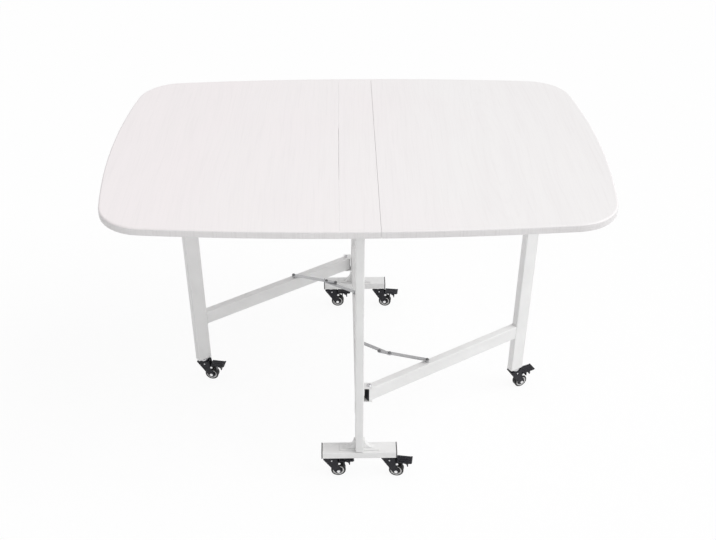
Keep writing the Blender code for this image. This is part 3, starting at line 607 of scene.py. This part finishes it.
def floor_dust_group():
    """Dust that gathers towards the floor."""
    inputs = (("Vector", "NodeSocketVector"), ("Height", "NodeSocketFloat"))
    group, given, result = new_group("floor_dust", inputs, ("Dust",))
    height = add_node(group, "ShaderNodeSeparateXYZ", None, Vector=given["Vector"]).outputs[2]
    near = math_step(group, "SUBTRACT", 1.0, math_step(group, "DIVIDE", height, given["Height"]))
    near = span(group, near, UNIT)
    cloud = span(group, noise(group, given["Vector"], DUST_CLOUD_SCALE, detail=5.0), DUST_CLOUD_LIMITS)
    group.links.new(math_step(group, "MULTIPLY", near, cloud), result["Dust"])
    return group


def rub_marks_group():
    """Short rubbed streaks, as handling leaves."""
    inputs = (("Vector", "NodeSocketVector"), ("Scale", "NodeSocketFloat"))
    group, given, result = new_group("rub_marks", inputs, ("Marks",))
    drawn = stretched(group, given["Vector"], RUB_STRETCH)
    streaks = noise(group, drawn, given["Scale"], detail=5.0, roughness=0.65)
    places = noise(group, given["Vector"], RUB_PLACE_SCALE, detail=2.0)
    marks = span(group, streaks, RUB_LIMITS)
    there = span(group, places, RUB_PLACE_LIMITS)
    group.links.new(math_step(group, "MULTIPLY", marks, there), result["Marks"])
    return group


def new_finish(name):
    """A material with its Principled shader and the Object coordinates that its patterns read."""
    material = bpy.data.materials.new(name)
    material.use_nodes = True
    tree = material.node_tree
    shader = tree.nodes["Principled BSDF"]
    coordinates = tree.nodes.new("ShaderNodeTexCoord").outputs["Object"]
    return material, tree, shader, coordinates


def press_bump(tree, shader, height, strength, depth):
    bump = add_node(tree, "ShaderNodeBump", None, Height=height, Strength=strength, Distance=depth)
    tree.links.new(bump.outputs[0], shader.inputs["Normal"])


def board_finish(groups):
    """White foil, faintly pink towards the left, with a pale grey grain that runs front to back."""
    material, tree, shader, place = new_finish("white_grain_foil")
    grain = use_group(tree, groups["long_grain"], Vector=place, Scale=FOIL_GRAIN_SCALE)
    shifted = {"Vector": place, "Location": FOIL_ARCH_PLACE}
    right = add_node(tree, "ShaderNodeMapping", None, **shifted).outputs[0]
    arches = use_group(tree, groups["arch_grain"], Vector=right, Scale=FOIL_ARCH_SCALE)["Arches"]
    across = add_node(tree, "ShaderNodeSeparateXYZ", None, Vector=place).outputs[0]
    patch = math_step(tree, "SUBTRACT", noise(tree, place, FOIL_CAST_SCALE, detail=2.0), NOISE_MIDDLE)
    cast = span(tree, math_step(tree, "ADD", across, patch), FOIL_CAST_LIMITS)
    ground = blend_colours(tree, cast, FOIL_LEFT, FOIL_RIGHT)
    banded = tinted(tree, ground, grain["Bands"], **FOIL_BANDS)
    lined = tinted(tree, banded, grain["Pores"], **FOIL_PORES)
    arched = tinted(tree, lined, arches, **FOIL_ARCHES)
    tree.links.new(arched, shader.inputs["Base Color"])
    tree.links.new(span(tree, grain["Pores"], UNIT, FOIL_ROUGHNESS), shader.inputs["Roughness"])
    press_bump(tree, shader, math_step(tree, "SUBTRACT", 1.0, grain["Pores"]), **FOIL_BUMP)
    return material


def edge_band_painted_shade_finish(groups):
    """The band round the boards, greyer than the foil as painted shade on their upright faces, with fine upright
    lines.
    """
    material, tree, shader, place = new_finish("grey_white_edge_band_painted_shade")
    grit = use_group(tree, groups["fine_grit"], Vector=place, Scale=BAND_GRIT_SCALE)
    wrapped = noise(tree, stretched(tree, place, BAND_LINE_STRETCH), BAND_LINE_SCALE, roughness=0.6)
    band = blend_colours(tree, grit["Patches"], BAND_SHADED_DARK, BAND_SHADED_PALE)
    lined = tinted(tree, band, span(tree, wrapped, BAND_LINE_LIMITS), **BAND_LINES)
    tree.links.new(lined, shader.inputs["Base Color"])
    tree.links.new(span(tree, grit["Grit"], GRIT_LIMITS, BAND_ROUGHNESS), shader.inputs["Roughness"])
    press_bump(tree, shader, grit["Grit"], **BAND_BUMP)
    return material


def paint_finish(groups):
    """White powder coat: a fine orange-peel skin, rubbed in places, with a little dust low down."""
    material, tree, shader, place = new_finish("white_powder_coat_paint")
    grit = use_group(tree, groups["fine_grit"], Vector=place, Scale=PAINT_GRIT_SCALE)
    dust = use_group(tree, groups["floor_dust"], Vector=place, Height=PAINT_DUST_HEIGHT)["Dust"]
    marks = use_group(tree, groups["rub_marks"], Vector=place, Scale=PAINT_RUB_SCALE)["Marks"]
    coat = blend_colours(tree, grit["Patches"], PAINT_DARK, PAINT_PALE)
    rubbed = tinted(tree, coat, marks, **PAINT_RUBBING)
    dusty = tinted(tree, rubbed, dust, **PAINT_DUST)
    tree.links.new(dusty, shader.inputs["Base Color"])
    tree.links.new(span(tree, grit["Grit"], GRIT_LIMITS, PAINT_ROUGHNESS), shader.inputs["Roughness"])
    press_bump(tree, shader, grit["Grit"], **PAINT_BUMP)
    return material


def plastic_finish(groups, name, colour, worn, roughness, dust_share, gloss):
    """Moulded plastic: a fine sparked skin, paler where it is rubbed, dusty near the floor."""
    material, tree, shader, place = new_finish(name)
    grit = use_group(tree, groups["fine_grit"], Vector=place, Scale=PLASTIC_GRIT_SCALE)
    dust = use_group(tree, groups["floor_dust"], Vector=place, Height=PLASTIC_DUST_HEIGHT)["Dust"]
    marks = use_group(tree, groups["rub_marks"], Vector=place, Scale=PLASTIC_RUB_SCALE)["Marks"]
    skin = tinted(tree, colour, grit["Patches"], PLASTIC_PATCH_SHARE, worn)
    rubbed = tinted(tree, skin, marks, PLASTIC_RUB_SHARE, worn)
    dusty = tinted(tree, rubbed, dust, dust_share, PLASTIC_DUST_COLOUR)
    tree.links.new(dusty, shader.inputs["Base Color"])
    tree.links.new(span(tree, grit["Grit"], GRIT_LIMITS, roughness), shader.inputs["Roughness"])
    shader.inputs["Specular IOR Level"].default_value = gloss
    press_bump(tree, shader, grit["Grit"], **PLASTIC_BUMP)
    return material


def metal_finish(groups, name, colour, dull, roughness, streaks):
    """Plated or rolled steel: a fine drawn grain with duller patches."""
    material, tree, shader, place = new_finish(name)
    grit = use_group(tree, groups["fine_grit"], Vector=place, Scale=METAL_GRIT_SCALE)
    drawn = noise(tree, stretched(tree, place, streaks), METAL_LINE_SCALE, detail=2.0)
    patched = blend_colours(tree, grit["Patches"], colour, dull)
    lines = span(tree, drawn, METAL_LINE_LIMITS, (0.0, METAL_LINE_SHARE))
    lined = blend_colours(tree, lines, patched, dull)
    tree.links.new(lined, shader.inputs["Base Color"])
    shader.inputs["Metallic"].default_value = METAL_SHARE
    tree.links.new(span(tree, drawn, GRIT_LIMITS, roughness), shader.inputs["Roughness"])
    press_bump(tree, shader, drawn, **METAL_BUMP)
    return material


def make_finishes():
    groups = {
        "long_grain": long_grain_group(),
        "arch_grain": arch_grain_group(),
        "fine_grit": fine_grit_group(),
        "floor_dust": floor_dust_group(),
        "rub_marks": rub_marks_group(),
    }
    finish = {
        "board": board_finish(groups),
        "edge_band_painted_shade": edge_band_painted_shade_finish(groups),
        "paint": paint_finish(groups),
    }
    for key, values in PLASTICS.items():
        finish[key] = plastic_finish(groups, **values)
    for key, values in METALS.items():
        finish[key] = metal_finish(groups, **values)
    return finish


# Boards

def is_seam_lip(edge):
    """The long upper edges of the boards, where a leaf meets the strip."""
    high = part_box("centre_strip")[1].z
    at_seam = all(abs(vert.co.x) < SEAM_REACH and vert.co.z > high - SINK for vert in edge.verts)
    return at_seam and is_sharp(edge)


def dress_boards(finish):
    """The three boards, with a greyer band round their edges that paints shade on the upright faces."""
    for node in ("centre_strip", "leaf_right", "leaf_left"):
        piece = merged_copy(node)
        open_mesh(piece)
        pick(piece, "EDGE", is_seam_lip)
        bevel_picked(SEAM_EASE, ROUND_SEGMENTS)
        close_mesh()
        ease_edges(piece, BOARD_EASE)
        hand_over(piece, body_of(node), "white_grain_board", finish["board"], finish["edge_band_painted_shade"])
        # Upright faces take the greyer band: an edge band darkened as painted shade
        for face in piece.data.polygons:
            if abs(face.normal.z) < EDGE_BAND_PAINTED_SHADE_TILT:
                face.material_index = 1
        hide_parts(node)


# Frame and gates

def dress_tubes(finish):
    tubes = ["post_front", "post_rear", "stretcher", "top_rail", "foot_bar_front", "foot_bar_rear"]
    for side in ("right", "left"):
        tubes += ["gate_bar_" + side, "gate_leg_" + side]
    for node in tubes:
        dress(node, TUBE_EASE, "white_powder_coat", finish["paint"])


def dress_brackets(finish):
    for node in ("post_bracket_front", "post_bracket_rear", "gate_bracket_right", "gate_bracket_left"):
        dress(node, PLATE_EASE, "white_powder_coat", finish["paint"])


def dress_caps(finish):
    for end in ("front", "rear"):
        for side in ("left", "right"):
            dress("foot_cap_" + end + "_" + side, CAP_EASE, "dark_end_cap", finish["cap"])
    for side in ("right", "left"):
        dress("gate_bar_plug_" + side, TUBE_EASE, "black_plastic", finish["black"])
        dress("leg_pad_" + side, CAP_EASE, "black_plastic", finish["black"])


def dress_gate_pins(finish):
    """Domed bolt heads with a six-sided socket."""
    for side in ("right", "left"):
        node = "gate_pin_" + side
        piece = merged_copy(node)
        ease_edges(piece, TUBE_EASE)
        middle = middle_of(node)
        middle.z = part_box(node)[1].z
        depth = 2 * BOLT_SOCKET_DEPTH
        cut(piece, add_rod("socket", BOLT_SOCKET_RADIUS, depth, BOLT_SOCKET_SIDES, middle))
        hand_over(piece, body_of(node), "zinc_plate", finish["zinc"])
        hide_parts(node)


def dress_stays(finish):
    """Flat links with darker rivet heads, and darker rivet ends below the links on the frame."""
    for side in ("right", "left"):
        for link in ("stay_frame_link_", "stay_gate_link_"):
            node = link + side
            piece = merged_copy(node)
            ease_edges(piece, STRIP_STEEL_EASE)
            hand_over(piece, body_of(node), "grey_stay_steel", finish["stay"], finish["rivet"])
            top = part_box(node)[1].z - STAY_HEAD_HEIGHT
            bottom = top - STAY_THICKNESS
            for face in piece.data.polygons:
                is_end = link == "stay_frame_link_" and face.center.z < bottom - SINK
                if is_end or face.center.z > top + SINK:
                    face.material_index = 1
            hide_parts(node)


def bead_model():
    """A weld bead round the end of a tube that runs along X, with its junction at the origin."""
    bpy.ops.object.select_all(action="DESELECT")
    bpy.ops.mesh.primitive_plane_add(size=1, rotation=(0, math.pi / 2, 0))
    model = bpy.context.object
    model.name = "bead_model"
    model.scale = (TUBE_WIDE, TUBE_THIN, 1)
    apply_place(model)
    open_mesh(model)
    bpy.ops.mesh.select_all(action="SELECT")
    bpy.ops.mesh.bevel(offset=TUBE_CORNER, segments=ROUND_SEGMENTS, affect="VERTICES")
    bpy.ops.mesh.delete(type="ONLY_FACE")
    pick(model, "EDGE", lambda edge: edge.calc_length() > 2 * TUBE_CORNER)
    bpy.ops.mesh.subdivide(number_cuts=BEAD_CUTS)
    close_mesh()
    bpy.ops.object.convert(target="CURVE")
    model.data.bevel_depth = BEAD_RADIUS
    model.data.bevel_resolution = BEAD_RESOLUTION
    bpy.ops.object.convert(target="MESH")
    model = bpy.context.object
    ripple = bpy.data.textures.new("bead_ripple", "CLOUDS")
    ripple.noise_scale = BEAD_RIPPLE_SIZE
    settings = {"texture": ripple, "strength": BEAD_RIPPLE, "mid_level": BEAD_RIPPLE_MIDDLE}
    apply_modifier(model, "DISPLACE", **settings)
    return model


def add_bead(model, name, place, body, finish, top=None):
    bead = copy_to(model, name, place)
    if top is not None:
        open_mesh(bead)
        bpy.ops.mesh.select_all(action="SELECT")
        bpy.ops.mesh.bisect(plane_co=(0, 0, top), plane_no=(0, 0, 1), clear_outer=True, use_fill=True)
        close_mesh()
    hand_over(bead, body, "white_powder_coat", finish["paint"])


def add_weld_beads(finish):
    """Painted-over welds where the rails meet the posts and the bars meet the legs."""
    model = bead_model()
    for rail, top in (("stretcher", None), ("top_rail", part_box("top_rail")[1].z - BEAD_RADIUS)):
        low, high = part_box(rail)
        middle = middle_of(rail)
        for end, y in (("front", low.y), ("rear", high.y)):
            place = standing(Vector((middle.x, y, middle.z)), Vector((0, 1, 0)))
            add_bead(model, "weld_" + rail + "_" + end, place, "frame", finish, top)
    for side in ("right", "left"):
        pin = joint_place("gate_" + side + "_fold")
        leg = middle_of("gate_leg_" + side)
        along = Vector((leg.x - pin.x, leg.y - pin.y, 0))
        end = pin + along.normalized() * (along.length - TUBE_WIDE / 2)
        end.z = middle_of("gate_bar_" + side).z
        add_bead(model, "weld_gate_" + side, standing(end, along), "gate_" + side, finish)
    put_away(model)


# Hinges and screws

def dress_hinges(finish):
    for side in ("right", "left"):
        for plate in ("hinge_frame_plate_", "hinge_leaf_plate_"):
            dress(plate + side, STRIP_STEEL_EASE, "zinc_plate", finish["zinc"])


def screw_model():
    """A low screw head that faces down, with a crossed slot; its seat is the origin."""
    middle = (0, 0, (SINK - SCREW_HEIGHT) / 2)
    model = add_rod("screw_model", SCREW_RADIUS, SCREW_HEIGHT + SINK, SCREW_SIDES, middle)
    open_mesh(model)
    pick(model, "EDGE", lambda edge: is_sharp(edge) and max(vert.co.z for vert in edge.verts) < 0)
    bevel_picked(SCREW_ROUNDING, FINE_SEGMENTS)
    close_mesh()
    for size in ((SCREW_SLOT_LENGTH, SCREW_SLOT_WIDTH), (SCREW_SLOT_WIDTH, SCREW_SLOT_LENGTH)):
        cut(model, add_block("slot", (*size, 2 * SCREW_SLOT_DEPTH), (0, 0, -SCREW_HEIGHT)))
    return model


def add_screws(finish):
    """Screws under the hinge plates and under the rail that carries the strip."""
    model = screw_model()
    for side in ("right", "left"):
        for plate, body in (("frame", "frame"), ("leaf", "leaf_" + side)):
            low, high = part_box("hinge_" + plate + "_plate_" + side)
            pin = joint_place("leaf_" + side + "_lift")
            far = max((low.x, high.x), key=lambda x: abs(x - pin.x))
            x = (pin.x + far) / 2 + (far - pin.x) * SCREW_SHIFT_SHARE
            seat = high.z - HINGE_PLATE_THICKNESS
            for number, y in enumerate(SCREW_STATIONS, 1):
                place = Matrix.Translation((x, y, seat))
                screw = copy_to(model, f"screw_{plate}_plate_{side}_{number}", place)
                hand_over(screw, body, "zinc_plate", finish["zinc"])
    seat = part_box("top_rail")[0].z
    for number, y in enumerate(RAIL_SCREW_STATIONS, 1):
        screw = copy_to(model, f"screw_top_rail_{number}", Matrix.Translation((0, y, seat)))
        hand_over(screw, "frame", "zinc_plate", finish["zinc"])
    put_away(model)


# Casters

def radius_of(point):
    return math.hypot(point.x, point.z)


def is_rim(edge):
    """The sharp edges round the two sides of the wheel."""
    return is_sharp(edge) and all(abs(vert.co.y) > WHEEL_WIDTH / 2 - SINK for vert in edge.verts)


def is_disc(face):
    """The round faces at the middle of the wheel's sides."""
    return len(face.verts) == WHEEL_SIDES


def is_pocket_floor(face):
    """The stretches of the hub's dish between its spokes."""
    middle = face.calc_center_median()
    in_dish = HUB_BOSS_RADIUS + HUB_RECESS < radius_of(middle) < HUB_RADIUS - HUB_RECESS
    turn = math.atan2(middle.z, middle.x) / (2 * math.pi) * HUB_POCKETS % 1.0
    start, end = HUB_POCKET_SPAN
    return in_dish and abs(face.normal.y) > DISH_FACING and start < turn < end


def wheel_model():
    """A tyre on a spoked hub, turned about Y at the origin."""
    model = add_rod("wheel_model", WHEEL_RADIUS, WHEEL_WIDTH, WHEEL_SIDES, along="Y")
    open_mesh(model)
    pick(model, "FACE", lambda face: abs(face.normal.y) < TREAD_TILT)
    bpy.ops.mesh.inset(thickness=GROOVE_EDGE)
    bpy.ops.mesh.inset(thickness=GROOVE_WALL, depth=-GROOVE_DEPTH)
    pick(model, "EDGE", is_rim)
    bevel_picked(WHEEL_SHOULDER, ROUND_SEGMENTS)
    for side in (-1, 1):
        pick(model, "FACE", lambda face: is_disc(face) and face.normal.y * side > SIDE_FACING)
        bpy.ops.mesh.inset(thickness=WHEEL_RADIUS - WHEEL_SHOULDER - HUB_RING_RADIUS)
        bpy.ops.mesh.inset(thickness=HUB_RING_RADIUS - HUB_RADIUS)
        bpy.ops.mesh.inset(thickness=HUB_RECESS, depth=-HUB_RECESS)
        bpy.ops.mesh.inset(thickness=HUB_RADIUS - HUB_BOSS_RADIUS - 2 * HUB_RECESS)
        bpy.ops.mesh.inset(thickness=HUB_RECESS, depth=HUB_RECESS)
        bpy.ops.mesh.inset(thickness=HUB_BOSS_RADIUS - AXLE_BORE)
    pick(model, "FACE", is_disc)
    bpy.ops.mesh.bridge_edge_loops()
    pick(model, "FACE", is_pocket_floor)
    bpy.ops.mesh.inset(thickness=HUB_POCKET_EDGE, depth=-HUB_POCKET_DEPTH)
    close_mesh()
    return model


def add_wheels(finish):
    """Black wheels with a pale ring round the hub's dish, painted as the wheel's highlight."""
    model = wheel_model()
    # The ring round the dish takes the pale finish, a painted highlight
    for face in model.data.polygons:
        if HUB_RADIUS - HUB_RECESS < radius_of(face.center) < HUB_RING_RADIUS:
            face.material_index = 1
    for name in CASTERS:
        axle = joint_place("wheel_" + name + "_roll")
        place = caster_frame(name)
        place.translation = axle
        wheel = copy_to(model, "tyre_and_hub_" + name, place)
        hand_over(wheel, "wheel_" + name, "black_wheel", finish["tyre"], finish["hub"])
        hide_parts("caster_wheel_" + name)
    put_away(model)


def dress_yokes(finish):
    """Moulded yokes, with the axle's riveted ends in bright metal."""
    for name in CASTERS:
        node = "caster_yoke_" + name
        piece = merged_copy(node)
        ease_edges(piece, MOULDED_EASE)
        hand_over(piece, body_of(node), "black_plastic", finish["black"], finish["bright"])
        to_caster = caster_frame(name).inverted()
        for face in piece.data.polygons:
            if abs((to_caster @ face.center).y) > YOKE_OUTER + SINK:
                face.material_index = 1
        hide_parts(node)
        dress("caster_stem_" + name, TUBE_EASE, "zinc_plate", finish["zinc"])
        dress("caster_pedal_" + name, MOULDED_EASE, "black_plastic", finish["black"])


def rivet_model():
    """A domed rivet head that faces +Y, with its seat at the origin."""
    middle = (0, (RIVET_HEIGHT - SINK) / 2, 0)
    model = add_rod("rivet_model", RIVET_RADIUS, RIVET_HEIGHT + SINK, RIVET_SIDES, middle, "Y")
    open_mesh(model)
    pick(model, "EDGE", lambda edge: is_sharp(edge) and min(vert.co.y for vert in edge.verts) > 0)
    bevel_picked(RIVET_ROUNDING, ROUND_SEGMENTS)
    close_mesh()
    return model


def add_yoke_rivets(finish):
    """A rivet head on each wall of a yoke, and a larger one on each end of its pedal's pin."""
    model = rivet_model()
    larger = Matrix.Scale(PIVOT_RIVET_SCALE, 4) @ Matrix.Translation((0, PIVOT_RIVET_LIFT, 0))
    for name in CASTERS:
        pivot = caster_frame(name)
        pivot.translation = joint_place("pedal_" + name + "_press")
        for side, turn in (("near", math.pi), ("far", 0.0)):
            out = YOKE_OUTER if side == "far" else -YOKE_OUTER
            facing = Matrix.Rotation(turn, 4, "Z")
            seat = Matrix.Translation((YOKE_RIVET_FORWARD, out, YOKE_RIVET_HEIGHT))
            rivet = copy_to(model, f"yoke_rivet_{name}_{side}", caster_frame(name) @ seat @ facing)
            hand_over(rivet, "swivel_" + name, "zinc_plate", finish["zinc"])
            pin_end = pivot @ Matrix.Translation((0, out, 0)) @ facing @ larger
            rivet = copy_to(model, f"pivot_rivet_{name}_{side}", pin_end)
            hand_over(rivet, "pedal_" + name, "zinc_plate", finish["bright"])
    put_away(model)


def toe_web():
    """The hollow-curved web between a pedal's plate and its toe, with the pedal's pivot as origin."""
    length = TOE_WEB_SIZE[0]
    height = TOE_WEB_SIZE[2]
    near = TOE_FORWARD + SINK - length
    low = PEDAL_UNDER + SINK - height
    web = add_block("toe_web", TOE_WEB_SIZE, (near + length / 2, 0, low + height / 2))

    def is_inner(vert):
        return vert.co.x < near + SINK and vert.co.z < low + SINK

    open_mesh(web)
    pick(web, "EDGE", lambda edge: all(is_inner(vert) for vert in edge.verts))
    hollow = {"offset": TOE_WEB_HOLLOW, "segments": TOE_WEB_SEGMENTS, "profile": TOE_WEB_PROFILE}
    bpy.ops.mesh.bevel(**hollow, affect="EDGES")
    close_mesh()
    return web


def rib_model():
    """The raised ribs on a pedal's tread and the web at its toe, with the pedal's pivot as origin."""
    ribs = []
    for offset in PEDAL_RIB_OFFSETS:
        middle = (PEDAL_RIB_FORWARD, offset, PEDAL_TOP + PEDAL_RIB_SIZE[2] / 2 - SINK)
        rib = add_block("rib", PEDAL_RIB_SIZE, middle)
        ease_edges(rib, PEDAL_RIB_EASE, FINE_SEGMENTS)
        ribs.append(rib)
    return join(*ribs, toe_web())


def add_pedal_ribs(finish):
    model = rib_model()
    for name in CASTERS:
        place = caster_frame(name)
        place.translation = joint_place("pedal_" + name + "_press")
        ribs = copy_to(model, "pedal_ribs_" + name, place)
        hand_over(ribs, "pedal_" + name, "black_plastic", finish["black"])
    put_away(model)


# Studio

def seen_directly(tree):
    """One for rays from the camera and for those that a mirror or glass sends on."""
    path = tree.nodes.new("ShaderNodeLightPath").outputs
    seen = math_step(tree, "MAXIMUM", path["Is Camera Ray"], path["Is Glossy Ray"])
    return math_step(tree, "MAXIMUM", seen, path["Is Transmission Ray"])


def add_floor():
    """A white floor that shows as white to the camera and keeps the table's soft shadow."""
    bpy.ops.object.select_all(action="DESELECT")
    bpy.ops.mesh.primitive_plane_add(size=FLOOR_SIZE)
    floor = bpy.context.object
    floor.name = "floor"
    material = bpy.data.materials.new("white_paper_floor")
    material.use_nodes = True
    tree = material.node_tree
    shader = tree.nodes["Principled BSDF"]
    shader.inputs["Base Color"].default_value = FLOOR_COLOUR
    shader.inputs["Roughness"].default_value = FLOOR_ROUGHNESS
    shader.inputs["Specular IOR Level"].default_value = 0.0
    glow = add_node(tree, "ShaderNodeEmission", None, Color=WHITE, Strength=1.0)
    mix = tree.nodes.new("ShaderNodeMixShader")
    tree.links.new(math_step(tree, "MULTIPLY", seen_directly(tree), FLOOR_GLOW), mix.inputs[0])
    tree.links.new(shader.outputs[0], mix.inputs[1])
    tree.links.new(glow.outputs[0], mix.inputs[2])
    tree.links.new(mix.outputs[0], tree.nodes["Material Output"].inputs["Surface"])
    floor.data.materials.append(material)


def add_lamp(name, kind, place, way, strength):
    """A lamp that shines against the way from the table to it."""
    bpy.ops.object.light_add(type=kind, location=place)
    lamp = bpy.context.object
    lamp.name = name
    lamp.data.energy = strength
    lamp.rotation_euler = Vector(way).to_track_quat("Z", "Y").to_euler()
    return lamp


def add_light():
    scene = bpy.context.scene
    world = bpy.data.worlds.new("white_studio")
    world.use_nodes = True
    scene.world = world
    tree = world.node_tree
    sky = tree.nodes["Background"]
    sky.inputs["Color"].default_value = WHITE
    way = tree.nodes.new("ShaderNodeTexCoord").outputs["Generated"]
    to_right = add_node(tree, "ShaderNodeSeparateXYZ", None, Vector=way).outputs[0]
    strengths = (SKY_STRENGTH * (1 - SKY_LEAN), SKY_STRENGTH * (1 + SKY_LEAN))
    light = span(tree, to_right, (-1.0, 1.0), strengths)
    tree.links.new(math_step(tree, "MAXIMUM", seen_directly(tree), light), sky.inputs["Strength"])
    add_lamp("key_light", "SUN", KEY_WAY, KEY_WAY, KEY_STRENGTH).data.angle = KEY_SPREAD
    front_way = Vector(FRONT_PLACE) - Vector(FRONT_TARGET)
    add_lamp("front_light", "AREA", FRONT_PLACE, front_way, FRONT_POWER).data.size = FRONT_SIZE


def add_camera():
    scene = bpy.context.scene
    flat = math.cos(CAMERA_PITCH)
    ahead = (math.sin(CAMERA_YAW) * flat, math.cos(CAMERA_YAW) * flat, -math.sin(CAMERA_PITCH))
    forward = Vector(ahead)
    level = Vector((math.cos(CAMERA_YAW), -math.sin(CAMERA_YAW), 0))
    right = level * math.cos(CAMERA_ROLL) + level.cross(forward) * math.sin(CAMERA_ROLL)
    up = right.cross(forward)
    bpy.ops.object.camera_add()
    camera = bpy.context.object
    turned = Matrix((right, up, -forward)).transposed().to_4x4()
    camera.matrix_world = Matrix.Translation(CAMERA_PLACE) @ turned
    camera.data.sensor_width = SENSOR_WIDTH
    camera.data.lens = FOCAL_LENGTH_IN_PIXELS / IMAGE_WIDTH * SENSOR_WIDTH
    camera.data.shift_y = OPTICAL_CENTRE_BELOW_MIDDLE / IMAGE_WIDTH
    scene.camera = camera
    scene.view_settings.view_transform = "Standard"


def main():
    add_camera()
    add_floor()
    add_light()
    finish = make_finishes()
    dress_boards(finish)
    dress_tubes(finish)
    dress_brackets(finish)
    dress_caps(finish)
    dress_gate_pins(finish)
    dress_stays(finish)
    add_weld_beads(finish)
    dress_hinges(finish)
    add_screws(finish)
    add_wheels(finish)
    dress_yokes(finish)
    add_yoke_rivets(finish)
    add_pedal_ribs(finish)


main()
